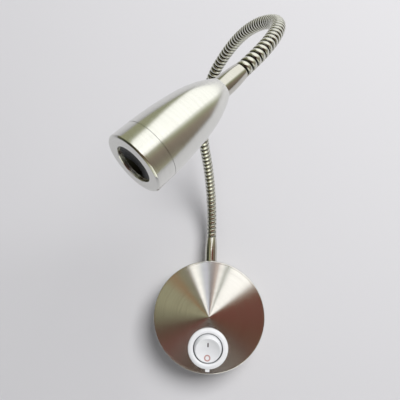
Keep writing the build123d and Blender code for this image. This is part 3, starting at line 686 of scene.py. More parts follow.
# The plain finishes by slot: name, pale tone, dark tone, metallic, roughness, size of the grain in
# millimetres, relief and, on glossy ones, a clear coat
PLAIN_FINISHES = {
    # Zinc plate, dipped: a bluish, slightly clouded shine
    "zinc_steel": ("zinc_plated_steel", "#c4c7cc", "#aeb2b9", 1.0, 0.34, 0.5, 0.2),
    # Screws blackened in hot oil
    "dark_steel": ("oil_blackened_steel", "#4a4a4c", "#303032", 1.0, 0.35, 0.3, 0.2),
    # Drawn spring wire, bright from the die
    "spring_steel": ("drawn_spring_wire", "#c0c0be", "#a4a4a2", 1.0, 0.25, 0.2, 0.1),
    # Nylon from a polished mould: glossy, faintly uneven
    "white_nylon": ("moulded_white_nylon", "#ecedee", "#e3e4e6", 0.0, 0.22, 0.6, 0.04, 0.3),
    # Black nylon from a sparked mould
    "black_plastic": ("sparked_black_nylon", "#232323", "#161616", 0.0, 0.5, 0.25, 0.35),
    # Driver case in white polycarbonate from a fine-textured mould
    "driver_plastic": ("textured_white_polycarbonate", "#e4e4e0", "#d8d8d4", 0.0, 0.5, 0.4, 0.3),
    # Terminals in natural polyamide, slightly yellow
    "terminal_plastic": ("natural_polyamide", "#ddd8c6", "#cfc9b4", 0.0, 0.42, 0.4, 0.2),
    # Closed-cell foam: soft, pitted and matt
    "foam_pad": ("closed_cell_foam", "#62656a", "#4b4e53", 0.0, 0.9, 0.7, 0.8),
    # Moulded rubber with a dusty bloom
    "black_rubber": ("moulded_black_rubber", "#2c2c2c", "#1c1c1c", 0.0, 0.7, 0.3, 0.3),
    # Extruded soft sheaths: satin, drawn lengthwise
    "lead_sheath": ("extruded_pale_sheath", "#dad8d3", "#cbc8c2", 0.0, 0.45, 0.5, 0.15),
    "lead_brown": ("extruded_brown_sheath", "#6a4330", "#553423", 0.0, 0.42, 0.5, 0.15),
    "lead_black": ("extruded_black_sheath", "#2b2b2b", "#1d1d1d", 0.0, 0.42, 0.5, 0.15),
    "lead_blue": ("extruded_blue_sheath", "#3a6cb8", "#2c59a0", 0.0, 0.42, 0.5, 0.15),
    # Stamped brass, bright where it was cut
    "brass": ("stamped_brass", "#e2c88c", "#cfb270", 1.0, 0.24, 0.4, 0.15),
    # White solder mask over aluminium: satin, slightly mottled
    "board_white": ("white_solder_mask", "#f0f0ec", "#e4e4df", 0.0, 0.35, 0.3, 0.15),
    # Phosphor in silicone: warm yellow, gelled
    "emitter_yellow": ("phosphor_silicone", "#ecd46a", "#dcc052", 0.0, 0.3, 0.25, 0.1, 0.5),
    # Printed marks: thin grey-brown and red-brown inks
    "ink_dark": ("printed_dark_ink", "#5a5052", "#4b4144", 0.0, 0.4, 0.2, 0.1),
    "ink_red": ("printed_red_brown_ink", "#bf9a95", "#b28a86", 0.0, 0.4, 0.2, 0.1),
}


def finish(slot):
    """The finish of a slot, made once."""
    if not finish.made:
        finish.made["satin_steel"] = spun_satin_steel()
        finish.made["turned_aluminium"] = turned_satin_aluminium()
        finish.made["gooseneck_steel"] = polished_steel_strip()
        finish.made["satin_nickel"] = bright_nickel_plate()
        finish.made["lens_clear"] = clear_acrylic()
        for name, looks in PLAIN_FINISHES.items():
            finish.made[name] = plain_finish(*looks)
    return finish.made[slot]


finish.made = {}

# ---- Operators ------------------------------------------------------------------------------

# Where the side screws stand, in degrees round the base from the right
SIDE_SCREWS = (30, 150, 270)

# A hole's cutting tool starts this far above the skin, and reaches this far down from there
CUT_START = 1.0 * MM
CUT_DEPTH = 4.0 * MM

# Gaps round what a hole takes: a loose fit and a close one
LOOSE = 0.15 * MM
CLOSE = 0.1 * MM


class LAMP_OT_base(bpy.types.Operator):
    """Spins the cup of the base, with its holes for the switch, the arm and the side screws"""

    bl_idname = "lamp.base"
    bl_label = "Base shell"

    def execute(self, context):
        """Turns the cup's section, then cuts the holes."""
        base = context.scene.lamp.base
        switch = context.scene.lamp.switch
        arm = context.scene.lamp.arm
        inner = base.radius - base.wall
        section = rounded(
            [
                (0, base.depth),
                (base.radius, base.depth, base.edge),
                (base.radius, base.standoff, base.rim),
                (inner, base.standoff, base.rim),
                (inner, base.depth - base.wall, base.inner_edge),
                (0, base.depth - base.wall),
            ],
            run=1.5 * MM,
        )
        shell = lathe("base_shell", section, Seat((0, 0, 0), (0, -1, 0), (0, 0, 1)), columns=192)
        face = Seat((0, -base.depth - CUT_START, -switch.drop), (0, -1, 0), (0, 0, 1))
        cut(shell, [face], switch.body_radius + LOOSE, CUT_DEPTH)
        foot = Seat((0, -arm.height, base.radius + CUT_START), (0, 0, 1), (1, 0, 0))
        cut(shell, [foot], arm.sleeve_radius + LOOSE, CUT_START + base.spot)
        cut(shell, [foot], arm.stud_radius + CLOSE, CUT_DEPTH)
        sides = []
        for degrees in SIDE_SCREWS:
            out = np.array([cos(radians(degrees)), 0, sin(radians(degrees))])
            place = out * (base.radius + CUT_START) - np.array([0, base.screw_height, 0])
            sides.append(Seat(place, out, (0, 1, 0)))
        cut(shell, sides, base.screw_hole, CUT_DEPTH)
        dress(shell, "base", "satin_steel", "base_cup")
        return {"FINISHED"}


def switch_seat(settings):
    """Seat on the base's front face at the middle of the switch, with angles from the right."""
    return Seat((0, -settings.base.depth, -settings.switch.drop), (0, -1, 0), (1, 0, 0))


def rocker_seat(settings):
    """Seat at the rocker's axis, leaning down by the tilt."""
    switch = settings.switch
    place = (0, -(settings.base.depth - switch.pivot_inset), -switch.drop)
    return Seat(place, (0, -cos(switch.tilt), -sin(switch.tilt)), (1, 0, 0))


def rocker_face(switch):
    """Height of the rocker's face over its axis, and the radius and middle of the dish's sphere."""
    height = sqrt(switch.rocker_radius**2 - switch.face_radius**2)
    ball = (switch.dish_radius**2 + switch.dish_depth**2) / (2 * switch.dish_depth)
    return height, ball, height - switch.dish_depth + ball


class LAMP_OT_bezel(bpy.types.Operator):
    """Makes the white bezel and body of the switch, with its key"""

    bl_idname = "lamp.bezel"
    bl_label = "Switch bezel"

    def execute(self, context):
        """Turns the bezel with its body, and adds the key at the lower edge."""
        settings = context.scene.lamp
        switch = settings.switch
        cavity = switch.rocker_radius + switch.gap
        floor = -switch.body_depth + switch.body_floor
        # The bezel's inner edge: how far it starts below the crest, and its rounding
        lip, lip_round = 0.35 * MM, 0.5 * MM
        body_round, foot_round = 0.4 * MM, 0.1 * MM
        edge = switch.bezel_height - switch.bezel_drop
        section = rounded(
            [
                (0, floor),
                (cavity, floor, body_round),
                (cavity, switch.bezel_height - lip, lip_round),
                (cavity + switch.crest, switch.bezel_height, switch.crest_round),
                (switch.bezel_radius, edge, switch.bezel_round),
                (switch.bezel_radius, 0, foot_round),
                (switch.body_radius, 0),
                (switch.body_radius, -switch.body_depth, body_round),
                (0, -switch.body_depth),
            ],
            steps=8,
            run=2 * MM,
        )
        seat = switch_seat(settings)
        bezel = lathe("switch_bezel", section, seat, columns=128, sharp=50)
        dress(bezel, "base", "white_nylon", "switch_housing")
        # The key's half sizes, and how far its middle is outside the bezel and over the face
        half = (1.6 * MM, 1.3 * MM, 0.45 * MM)
        out, lift = 0.45 * MM, 0.4 * MM
        key = rounded_block("bezel_key", seat, (0, switch.bezel_radius + out, lift), half)
        dress(key, "base", "white_nylon")
        return {"FINISHED"}


def rounded_block(name, seat, middle, half, power=0.35, rows=25, columns=48):
    """Block with soft edges: a superellipsoid, sign(c)|c|^power in place of each cosine and sine.

    middle is (right, down, height) on the seat, and half holds its half sizes.
    """

    def squared(share):
        """A cosine or sine, drawn out towards its ends."""
        return np.sign(share) * np.abs(share) ** power

    rise, turn = grid(np.linspace(-pi / 2, pi / 2, rows), circle(columns))
    right = middle[0] + half[0] * squared(np.cos(rise)) * squared(np.cos(turn))
    down = middle[1] + half[1] * squared(np.cos(rise)) * squared(np.sin(turn))
    height = middle[2] + half[2] * squared(np.sin(rise))
    points = seat.origin + right[..., None] * seat.side + height[..., None] * seat.axis
    return surface(name, points - down[..., None] * seat.across)


# Rows of points across the rocker's dish, down its round edge, and across a printed mark
DISH_ROWS = 22
EDGE_ROWS = 24
MARK_ROWS = 6


class LAMP_OT_rocker(bpy.types.Operator):
    """Makes the dished rocker and the marks that are printed on it"""

    bl_idname = "lamp.rocker"
    bl_label = "Switch rocker"

    def execute(self, context):
        """Turns the rocker about its leaning axis, then lays the two marks in its dish."""
        settings = context.scene.lamp
        switch = settings.switch
        seat = rocker_seat(settings)
        height, ball, middle = rocker_face(switch)
        # A small arc eases the corner between the dish and the round edge: where it starts inside the
        # dish's edge and its slope there, where it ends beside the face's corner, and how many radians
        # below that corner the round edge starts
        ease, slope = 0.15 * MM, (1, 0.5)
        out, drop, lower = 0.02 * MM, 0.05 * MM, 0.03
        reach = np.linspace(0, switch.dish_radius - ease, DISH_ROWS)
        dish = np.stack([reach, middle - np.sqrt(ball**2 - reach**2)], axis=1)
        corner = (switch.face_radius + out, height - drop)
        rim = arc_to(dish[-1], slope, corner, steps=6)[0][1:]
        low = np.arcsin(-switch.rocker_foot / switch.rocker_radius)
        high = np.arcsin(height / switch.rocker_radius) - lower
        swing = np.linspace(high, low, EDGE_ROWS)
        edge = switch.rocker_radius * np.stack([np.cos(swing), np.sin(swing)], axis=1)
        boss = rounded(
            [
                tuple(edge[-1]),
                (switch.boss_radius, -switch.rocker_foot),
                (switch.boss_radius, -switch.boss_end),
                (switch.pin_bore, -switch.boss_end),
                (switch.pin_bore, switch.pin_top),
                (0, switch.pin_top),
            ]
        )[1:]
        section = np.concatenate([dish, rim, edge, boss])
        cap = lathe("rocker_cap", section, seat, columns=128, sharp=60)
        dress(cap, "rocker", "white_nylon", "switch_rocker")
        plan = self.bar(half_width=0.5 * MM, half_height=1.75 * MM, middle=(0, 3.7 * MM))
        dress(self.mark("mark_on", settings, plan), "rocker", "white_nylon", ink="ink_dark")
        plan = self.ring(inner=1.35 * MM, outer=2.3 * MM, middle=(-0.3 * MM, -5.9 * MM))
        dress(self.mark("mark_off", settings, plan), "rocker", "white_nylon", ink="ink_red")
        return {"FINISHED"}

    def bar(self, half_width, half_height, middle):
        """Bar with round ends as a grid of (right, up): rows shrink towards its middle line.

        A point is (half width cos a, half width sin a + run clip(steep sin a)), and the clip moves
        the two half circles apart.
        """
        shrink, turn = grid(np.linspace(1, 0, MARK_ROWS), circle(32))
        run, steep = half_height - half_width, 6
        right = half_width * shrink * np.cos(turn)
        up = half_width * shrink * np.sin(turn) + run * np.clip(steep * np.sin(turn), -1, 1)
        return np.stack([middle[0] + right, middle[1] + up], axis=-1)

    def ring(self, inner, outer, middle):
        """Flat ring as a grid of (right, up) between two radii."""
        radius, turn = grid(np.linspace(inner, outer, MARK_ROWS), circle(64))
        return np.stack([middle[0] + radius * np.cos(turn), middle[1] + radius * np.sin(turn)], axis=-1)

    def mark(self, name, settings, plan):
        """Thin closed skin of ink that follows the dish: height = middle - sqrt(ball^2 - r^2)."""
        # How far the ink stands over the dish, and how far it reaches into it
        over, under = 0.03 * MM, 0.05 * MM
        seat = rocker_seat(settings)
        _, ball, middle = rocker_face(settings.switch)
        height = middle - np.sqrt(ball**2 - (plan**2).sum(axis=-1))
        flat = seat.origin + plan[..., 0, None] * seat.side + plan[..., 1, None] * seat.across
        top = flat + (height + over)[..., None] * seat.axis
        foot = flat + (height - under)[..., None] * seat.axis
        return surface(name, np.concatenate([top, foot[::-1]]), close_rows=True)


def sleeve_section(arm):
    """Closed section of a sleeve from its mouth: an arc to the straight part, the stud and the bores."""
    shoulder = arm.sleeve - arm.straight
    outside, _ = arc_to((arm.sleeve_radius, shoulder), (0, -1), (arm.mouth_radius, 0), steps=14)
    tip = arm.sleeve + arm.stud_length
    socket = arm.plug + CLOSE
    mouth_round, tip_round, foot_round = 0.1 * MM, 0.3 * MM, 0.15 * MM
    rest = rounded(
        [
            (arm.mouth_radius, 0),
            (arm.stud_radius, 0, mouth_round),
            (arm.stud_radius, socket),
            (arm.stud_bore, socket),
            (arm.stud_bore, tip),
            (arm.stud_radius, tip, tip_round),
            (arm.stud_radius, arm.sleeve),
            (arm.sleeve_radius, arm.sleeve, foot_round),
            (arm.sleeve_radius, shoulder),
        ],
        run=1.5 * MM,
    )
    return np.concatenate([outside[:-1], rest[:-1]])


class LAMP_OT_sleeves(bpy.types.Operator):
    """Turns the two plated sleeves that hold the ends of the arm"""

    bl_idname = "lamp.sleeves"
    bl_label = "Arm sleeves"

    def execute(self, context):
        """Turns one section twice, on the base and on the head."""
        settings = context.scene.lamp
        arm, base = settings.arm, settings.base
        section = sleeve_section(arm)
        mouth = Seat((0, -arm.height, base.radius - base.spot + arm.sleeve), (0, 0, -1), (1, 0, 0))
        low = lathe("sleeve_low", section, mouth, columns=96, close=True)
        dress(low, "base", "satin_nickel", "base_ferrule")
        high = lathe("sleeve_high", section, arm_end(settings), columns=96, close=True)
        dress(high, "head", "satin_nickel", "head_ferrule")
        return {"FINISHED"}


# Columns round the hose, and rows to each turn of its thread and along the bore of each piece
HOSE_COLUMNS = 40
HOSE_ROWS = 16


class LAMP_OT_gooseneck(bpy.types.Operator):
    """Winds the ribbed gooseneck, in seven pieces, each over one join between two of its lengths"""

    bl_idname = "lamp.gooseneck"
    bl_label = "Gooseneck"

    def execute(self, context):
        """Makes each piece from mid-length to mid-length, with no body of its own."""
        settings = context.scene.lamp
        arm = settings.arm
        count = len(ARM_BENDS)
        for hinge in range(1, count):
            final = hinge == count - 1
            start = -arm.plug if hinge == 1 else (hinge - 0.5) * arm.link
            end = count * arm.link + arm.plug if final else (hinge + 0.5) * arm.link
            piece = self.wind(settings, f"hose_{hinge}", start, end)
            nodes = [f"gooseneck_{hinge}"] + ([f"gooseneck_{count}"] if final else [])
            dress(piece, None, "gooseneck_steel", *nodes)
            middle, right, across = arm_sections(settings, np.array([hinge * arm.link]))
            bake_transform(piece)
        return {"FINISHED"}

    def ridge(self, arm, distance, turns):
        """Radius and depth at each point: domes on a smaller tube, plain inside the sleeves.

        The turns of the strip lie closer together along the arm's straighter quarter than in its loop.
        With p the distance from the nearest crest, it is groove + height * sqrt(1 - |p / half width|^3).
        """
        phase = (turns - np.round(turns)) * arm.pitch
        total = arm.link * len(ARM_BENDS)
        quarter = total / 4
        opened = np.clip((distance - quarter) / quarter, 0, 1)
        width = arm.ridge * (1 - arm.opening * opened)
        dome = np.sqrt(np.clip(1 - np.abs(phase / width) ** 3, 0, 1))
        # Over this length at each sleeve's mouth the ridges sink into the tube
        fade = 0.4 * MM
        share = np.clip(np.minimum(distance, total - distance) / fade, 0, 1)
        # The depth is darkened by the steel strip's finish as painted shade in the grooves
        return arm.groove + (arm.radius - arm.groove) * dome * share, (1 - dome) * share

    def wind(self, settings, name, start, end):
        """Tube with a right-handed thread: a row's distance is pitch * (row + turn), kept within its ends.

        A point is centre(s) + radius * (right cos a + across sin a). The rows go up the outside and come
        back down the bore.
        """
        arm = settings.arm
        first, last = np.floor(start / arm.pitch) - 1, np.ceil(end / arm.pitch) + 1
        rows, turn = grid(np.arange(first, last, 1 / HOSE_ROWS), circle(HOSE_COLUMNS))
        part = turn / (2 * pi)
        distance = np.clip((rows + part) * arm.pitch, start, end)
        radius, depth = self.ridge(arm, distance, distance / arm.pitch - part)
        inner, inner_turn = grid(np.linspace(end, start, HOSE_ROWS), turn[0])
        turn = np.concatenate([turn, inner_turn])[..., None]
        radius = np.concatenate([radius, np.full(inner.shape, arm.bore)])[..., None]
        # The bore is given full depth, so the finish paints it wholly in shade
        depth = np.concatenate([depth, np.ones(inner.shape)])
        centre, right, across = arm_sections(settings, np.concatenate([distance, inner]))
        points = centre + radius * (right * np.cos(turn) + across * np.sin(turn))
        return surface(name, points, close_rows=True, sharp=62, attribute=depth)


def head_seat(settings):
    """Seat at the back end of the head, whose axis points to its front."""
    return arm_end(settings).raised(settings.arm.sleeve - settings.head.sink)


class LAMP_OT_head(bpy.types.Operator):
    """Turns the head's body and the ring that screws into its front"""

    bl_idname = "lamp.head"
    bl_label = "Head"

    def execute(self, context):
        """Turns the two closed sections."""
        settings = context.scene.lamp
        seat = head_seat(settings)
        body = lathe("head_body", self.body_section(settings), seat, columns=192, close=True)
        dress(body, "head", "turned_aluminium", "head_shell")
        ring = lathe("head_ring", self.ring_section(settings.head), seat, columns=192, close=True)
        dress(ring, "head", "turned_aluminium", "front_ring")
        return {"FINISHED"}

    def body_section(self, settings):
        """Outside of two tangent arcs from the seam to the back, then the bores."""
        head, arm = settings.head, settings.arm
        seam = head.size - head.ring
        slope = (head.seam_radius - head.front_radius, -head.ring)
        middle = (head.middle_radius, head.middle_height)
        flank, slope = arc_to((head.seam_radius, seam), slope, middle, steps=24)
        nose, _ = arc_to(flank[-1], slope, (head.back_radius, 0), steps=20)
        # The floor that the sleeve stands on, and the gap round the sleeve and round the ring's thread
        floor, play, edge_round = 3.0 * MM, 0.05 * MM, 0.1 * MM
        inside = head.sink + floor
        socket = arm.sleeve_radius + play
        thread = head.thread_radius + play
        bores = rounded(
            [
                (head.back_radius, 0),
                (socket, 0, edge_round),
                (socket, head.sink),
                (arm.stud_radius + CLOSE, head.sink),
                (arm.stud_radius + CLOSE, inside),
                (head.chamber, inside),
                (head.middle_radius - head.wall, head.middle_height),
                (thread, head.thread_start),
                (thread, seam),
                (head.seam_radius, seam),
            ],
            run=3 * MM,
        )
        return np.concatenate([flank[:-1], nose[:-1], bores[:-1]])

    def ring_section(self, head):
        """Ring with its bevelled lip outside and its thread behind."""
        back = head.size - head.ring + head.seam_gap
        lip = head.size - head.lip
        side_round, front_round = 0.3 * MM, 0.25 * MM
        outline = rounded(
            [
                (head.seam_radius, back),
                (head.front_radius, head.size - head.bevel, side_round),
                (head.front_radius - head.bevel, head.size, front_round),
                (head.window_radius, head.size, side_round),
                (head.window_radius, lip),
                (head.ring_bore, lip),
                (head.ring_bore, head.ring_back),
                (head.thread_radius, head.ring_back),
                (head.thread_radius, back),
                (head.seam_radius, back),
            ],
            run=1.5 * MM,
        )
        return outline[:-1]


class LAMP_OT_lens(bpy.types.Operator):
    """Turns the clear collimator behind the head's opening"""

    bl_idname = "lamp.lens"
    bl_label = "Lens"

    def execute(self, context):
        """Turns the bowl, its flange, its hollowed front and the hollow over the emitter."""
        settings = context.scene.lamp
        head, lens = settings.head, settings.lens
        front = head.size - head.lip
        foot = front - lens.depth
        rim = head.ring_bore - CLOSE
        flange = front - lens.flange
        slope, edge_round, hollow_round = (0.35, 1), 0.15 * MM, 0.5 * MM
        bowl, _ = arc_to((lens.foot_radius, foot), slope, (rim - lens.step, flange), steps=16)
        edge = [tuple(bowl[-1]), (rim, flange), (rim, front, edge_round), (lens.dish_radius, front)]
        dish, _ = arc_to((0, front - lens.dish_depth), (1, 0), (lens.dish_radius, front), steps=20)
        hollow = [
            (0, foot + lens.hollow_depth),
            (lens.hollow_radius, foot + lens.hollow_side, hollow_round),
            (lens.hollow_mouth, foot),
            (lens.foot_radius, foot),
        ]
        section = np.concatenate([rounded(hollow)[:-1], bowl, rounded(edge)[1:-1], dish[::-1]])
        optic = lathe("lens_optic", section, head_seat(settings), columns=96)
        dress(optic, "head", "lens_clear", "lens")
        return {"FINISHED"}


class LAMP_OT_inner_parts(bpy.types.Operator):
    """Gives every CAD piece that stays its own finish"""

    bl_idname = "lamp.inner_parts"
    bl_label = "Inner parts"

    def execute(self, context):
        """Puts the finish of each node's slot on its object."""
        for row in frame["record"]["subparts"]:
            piece = frame["nodes"][row["node"]]
            for place in piece.material_slots:
                place.material = finish(row["material_slot"])
        return {"FINISHED"}


# What stands in the room that the metal mirrors
ROOM = {
    "window": "#fafaf5",
    "sky": "#d8dff2",
    "daylight": "#f4f5e8",
    "post": "#6a625c",
    "blush": "#d8ae9a",
    "green": "#5f9060",
    "cloth": "#bdbb99",
    "sage": "#93957a",
    "drab": "#76745a",
    "beige": "#84796c",
    "olive": "#43473a",
    "tan": "#ab8560",
    "shade": "#6b5a4c",
    "copper": "#80443a",
    "plank": "#503128",
    "rug": "#34281f",
}

# What is straight ahead of the base
ROOM_MIDDLE = "#6a5449"

# How far below straight ahead the room's turns are centred, as a slope
ROOM_LEAN = 0.11

# The room as the base's face mirrors it: a window from -24 to 53 degrees, parted by a post and a green
# frame, pale cloth on the left and dark wood below and on the right. Each row is a turn in degrees,
# clockwise from the top, what stands there and how bright it is
NEAR_ROOM = (
    (-180, "rug", 1.0),
    (-152, "plank", 1.1),
    (-128, "copper", 0.8),
    (-108, "shade", 1.1),
    (-94, "cloth", 0.65),
    (-78, "cloth", 1.0),
    (-58, "cloth", 0.9),
    (-46, "tan", 1.0),
    (-36, "sage", 1.0),
    (-26, "shade", 1.2),
    (-24.5, "window", 2.4),
    (-14, "window", 2.2),
    (-11, "sky", 1.9),
    (-4, "sky", 1.7),
    (-2.5, "post", 0.25),
    (2.5, "post", 0.4),
    (4, "blush", 0.7),
    (8, "blush", 1.0),
    (10, "window", 1.9),
    (15.5, "window", 1.9),
    (17, "green", 0.35),
    (20.5, "green", 0.35),
    (22, "window", 1.9),
    (49, "window", 1.9),
    (56, "tan", 0.6),
    (64, "copper", 1.0),
    (105, "copper", 0.9),
    (138, "plank", 1.0),
    (180, "rug", 1.0),
)

# The same further out, as the head, the sleeves and the ridges mirror it
FAR_ROOM = (
    (-180, "plank", 1.0),
    (-150, "plank", 1.2),
    (-124, "shade", 0.8),
    (-105, "olive", 0.9),
    (-76, "olive", 1.0),
    (-50, "sage", 1.0),
    (-36, "cloth", 0.8),
    (-28, "drab", 1.2),
    (-18, "sage", 1.2),
    (-9, "sage", 1.1),
    (-5, "window", 1.42),
    (56, "window", 1.42),
    (64, "sage", 1.1),
    (76, "beige", 1.1),
    (92, "beige", 0.8),
    (108, "olive", 0.9),
    (125, "copper", 0.9),
    (180, "plank", 1.0),
)

# And to the sides, along the wall
SIDE_ROOM = (
    (-180, "daylight", 0.9),
    (-164, "cloth", 0.9),
    (-140, "drab", 0.7),
    (-112, "rug", 1.0),
    (-86, "olive", 1.1),
    (-60, "drab", 1.4),
    (-40, "cloth", 0.75),
    (-9, "sage", 1.1),
    (-5, "window", 1.42),
    (52, "window", 1.42),
    (68, "sage", 1.3),
    (80, "beige", 1.3),
    (100, "beige", 0.8),
    (118, "cloth", 0.8),
    (136, "daylight", 1.0),
    (146, "daylight", 2.0),
    (172, "daylight", 1.9),
    (180, "daylight", 0.9),
)

# The room's rings from the middle out, and the tilts in degrees between which each takes over
ROOM_RINGS = ((NEAR_ROOM, 5, 11), (FAR_ROOM, 32, 42), (SIDE_ROOM, 44, 56))

# Where the soft lamp points, and the way to it from there
LAMP_AIM = (0, -26 * MM, 30 * MM)
LAMP_WAY = (0.42, -1.0, 0.52)

# The gap between the lamp and the wall, half the wall's side and the floor's, how far down the floor
# is, and the radius of the hole in its middle
WALL_GAP = 0.2 * MM
WALL_HALF = 1600 * MM
FLOOR_HALF = 450 * MM
FLOOR_DROP = 900 * MM
FLOOR_HOLE = 1 * MM

# Width of the camera's sensor in millimetres
SENSOR = 36


class LAMP_OT_stage(bpy.types.Operator):
    """Sets up the wall, the floor, the lamp and the camera"""

    bl_idname = "lamp.stage"
    bl_label = "Studio"

    def execute(self, context):
        """Makes the stage, its light and the view."""
        settings = context.scene.lamp.stage
        paint = self.stage_paint(settings)
        right, up, back = (1, 0, 0), (0, 0, 1), (0, 1, 0)
        # The wall is open behind the base, so that light gets to its plate when it is seen from behind
        wall = self.sheet("wall", (0, WALL_GAP, 0), right, up, WALL_HALF, settings.opening, paint)
        middle = (0, -FLOOR_HALF, -FLOOR_DROP)
        floor = self.sheet("floor", middle, right, back, FLOOR_HALF, FLOOR_HOLE, paint)
        # The metal mirrors the darker room below, and not a pale floor
        floor.visible_glossy = False
        self.sky(context, settings)
        self.soft_lamp(settings)
        self.camera(context, settings)
        context.scene.view_settings.view_transform = "Standard"
        return {"FINISHED"}

    def sheet(self, name, middle, right, up, half, hole, paint, sides=64):
        """Flat square with a round hole, whose face looks along right x up.

        At the turn a the hole's edge is at (cos a, sin a) hole, and the square's at
        (cos a, sin a) half / max(|cos a|, |sin a|).
        """
        turns = circle(sides)
        ways = np.stack([np.cos(turns), np.sin(turns)], 1)
        edge = ways * (half / np.abs(ways).max(1, keepdims=True))
        flat = np.concatenate([ways * hole, edge])
        points = np.array(middle, float) + flat @ np.array([right, up], float)
        here = np.arange(sides)
        ahead = (here + 1) % sides
        faces = np.stack([here, here + sides, ahead + sides, ahead], 1)
        mesh = bpy.data.meshes.new(name)
        mesh.from_pydata(points.tolist(), [], faces.tolist())
        mesh.materials.append(paint)
        sheet = bpy.data.objects.new(name, mesh)
        bpy.context.scene.collection.objects.link(sheet)
        return sheet

    def stage_paint(self, settings):
        """Matt pale paint that is clear from behind, so that the back and the underside can be seen."""
        material, tree = fresh("pale_matt_paint")
        behind = node(tree, "NewGeometry").outputs["Backfacing"]
        paint = node(tree, "BsdfDiffuse", {}, {"Color": (*settings.wall, 1)})
        clear = node(tree, "BsdfTransparent")
        both = node(tree, "MixShader", {}, {0: behind, 1: paint.outputs[0], 2: clear.outputs[0]})
        node(tree, "OutputMaterial", {}, {0: both.outputs[0]})
        return material

    def sky(self, context, settings):
        """Even world for the light, and for glossy rays the room that the metal mirrors.

        With x to the right, f towards the room and z up, the turn of a direction is
        atan2(x, z + ROOM_LEAN f), clockwise from the top as the base's face shows it, and its tilt is
        the angle from straight ahead.
        """
        world = bpy.data.worlds.new("room")
        context.scene.world = world
        world.use_nodes = True
        tree = world.node_tree
        tree.nodes.clear()
        way = node(tree, "TexCoord").outputs["Generated"]
        parts = node(tree, "SeparateXYZ", {}, {0: way}).outputs
        front = node(tree, "Math", {"operation": "MULTIPLY"}, {0: parts["Y"], 1: -1.0}).outputs[0]
        lean = {0: front, 1: ROOM_LEAN, 2: parts["Z"]}
        level = node(tree, "Math", {"operation": "MULTIPLY_ADD"}, lean).outputs[0]
        turn = node(tree, "Math", {"operation": "ARCTAN2"}, {0: parts["X"], 1: level}).outputs[0]
        share = node(tree, "MapRange", {}, {"Value": turn, "From Min": -pi, "From Max": pi}).outputs[0]
        flat = node(tree, "CombineXYZ", {}, {"X": parts["X"], "Y": level}).outputs[0]
        spread = node(tree, "VectorMath", {"operation": "LENGTH"}, {0: flat}).outputs["Value"]
        tilt = node(tree, "Math", {"operation": "ARCTAN2"}, {0: spread, 1: front}).outputs[0]
        room = tint(ROOM_MIDDLE)
        for sectors, first, last in ROOM_RINGS:
            limits = {"From Min": radians(first), "From Max": radians(last)}
            fade = node(tree, "MapRange", {"interpolation_type": "SMOOTHSTEP"}, {"Value": tilt, **limits})
            colours = {0: fade.outputs[0], 6: room, 7: self.fan(tree, share, sectors)}
            room = node(tree, "Mix", {"data_type": "RGBA"}, colours).outputs[2]
        ray = node(tree, "LightPath").outputs
        plain = node(tree, "Background", {}, {"Color": (*settings.daylight, 1), "Strength": settings.even})
        shine = node(tree, "Background", {}, {"Color": room, "Strength": 1.0})
        view = node(tree, "Background", {}, {"Color": (*settings.backdrop, 1), "Strength": 1.0})
        mirrored = {0: ray["Is Glossy Ray"], 1: plain.outputs[0], 2: shine.outputs[0]}
        unseen = node(tree, "MixShader", {}, mirrored)
        seen = {0: ray["Is Camera Ray"], 1: unseen.outputs[0], 2: view.outputs[0]}
        node(tree, "OutputWorld", {}, {0: node(tree, "MixShader", {}, seen).outputs[0]})

    def fan(self, tree, share, sectors):
        """Colour by turn: each sector is its place in degrees, what stands there and how bright it is."""
        ramp = node(tree, "ValToRGB", {}, {"Fac": share})
        stops = ramp.color_ramp.elements
        for number, (degrees, thing, light) in enumerate(sectors):
            place = degrees / 360 + 0.5
            # A new ramp already has its first two stops
            stop = stops[number] if number < 2 else stops.new(place)
            stop.position = place
            stop.color = (*(light * channel for channel in linear(ROOM[thing])), 1)
        return ramp.outputs[0]

    def soft_lamp(self, settings):
        """Wide lamp up to the right behind the camera, which throws the shadow down to the left."""
        back = Vector(LAMP_WAY).normalized()
        right = Vector((0, 0, 1)).cross(back).normalized()
        data = bpy.data.lights.new("key", "AREA")
        data.shape = "RECTANGLE"
        data.size = settings.lamp_size
        data.size_y = settings.lamp_size
        data.energy = settings.lamp_power
        lamp = bpy.data.objects.new("key", data)
        bpy.context.scene.collection.objects.link(lamp)
        lamp.visible_glossy = False
        facing = Matrix((right, back.cross(right), back)).transposed().to_4x4()
        place = Vector(LAMP_AIM) + back * settings.lamp_distance
        lamp.matrix_world = Matrix.Translation(place) @ facing

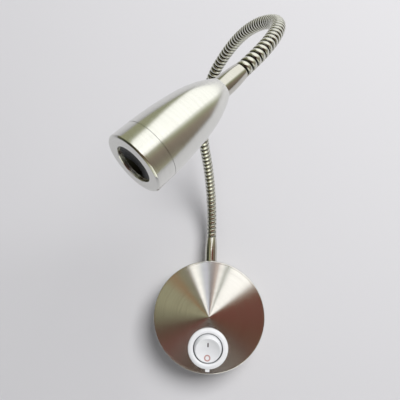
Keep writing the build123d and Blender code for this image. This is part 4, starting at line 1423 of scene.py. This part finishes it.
    def camera(self, context, settings):
        """Camera turned by yaw, pitch and roll in that order."""
        data = bpy.data.cameras.new("camera")
        data.lens = settings.lens
        data.sensor_width = SENSOR
        data.clip_start = 10 * MM
        level = Vector((cos(settings.yaw), sin(settings.yaw), 0))
        straight = Vector((-sin(settings.yaw), cos(settings.yaw), 0))
        ahead = straight * cos(settings.pitch) + Vector((0, 0, sin(settings.pitch)))
        upright = level.cross(ahead)
        right = level * cos(settings.roll) + upright * sin(settings.roll)
        up = upright * cos(settings.roll) - level * sin(settings.roll)
        camera = bpy.data.objects.new("camera", data)
        context.scene.collection.objects.link(camera)
        facing = Matrix((right, up, -ahead)).transposed().to_4x4()
        camera.matrix_world = Matrix.Translation(Vector(settings.place)) @ facing
        context.scene.camera = camera


class LAMP_PT_panel(bpy.types.Panel):
    """Lists the lamp's settings and the steps that build it"""

    bl_idname = "LAMP_PT_panel"
    bl_label = "Wall Reading Lamp"
    bl_space_type = "VIEW_3D"
    bl_region_type = "UI"
    bl_category = "Lamp"

    def draw(self, context):
        """Lists the steps, and then each group of settings in a box."""
        for step in STEPS:
            self.layout.operator(step.bl_idname)
        lamp = context.scene.lamp
        for group in (lamp.base, lamp.switch, lamp.arm, lamp.head, lamp.lens, lamp.stage):
            box = self.layout.box()
            box.label(text=group.bl_rna.description)
            for name in group.bl_rna.properties.keys():
                if name not in ("rna_type", "name"):
                    box.prop(group, name)


STEPS = (
    LAMP_OT_base,
    LAMP_OT_bezel,
    LAMP_OT_rocker,
    LAMP_OT_sleeves,
    LAMP_OT_gooseneck,
    LAMP_OT_head,
    LAMP_OT_lens,
    LAMP_OT_inner_parts,
    LAMP_OT_stage,
)
GROUPS = (
    LampBaseSettings,
    LampSwitchSettings,
    LampArmSettings,
    LampHeadSettings,
    LampLensSettings,
    LampStageSettings,
    LampSettings,
)


def register():
    """Makes the settings, the steps and the panel known to Blender."""
    for kind in GROUPS + STEPS + (LAMP_PT_panel,):
        bpy.utils.register_class(kind)
    bpy.types.Scene.lamp = bpy.props.PointerProperty(type=LampSettings)


def unregister():
    """Takes them away again."""
    del bpy.types.Scene.lamp
    for kind in reversed(GROUPS + STEPS + (LAMP_PT_panel,)):
        bpy.utils.unregister_class(kind)


def main():
    """Registers the settings and the steps, then runs every step in order."""
    register()
    for step in STEPS:
        group, name = step.bl_idname.split(".")
        getattr(getattr(bpy.ops, group), name)()


if __name__ == "__main__":
    main()
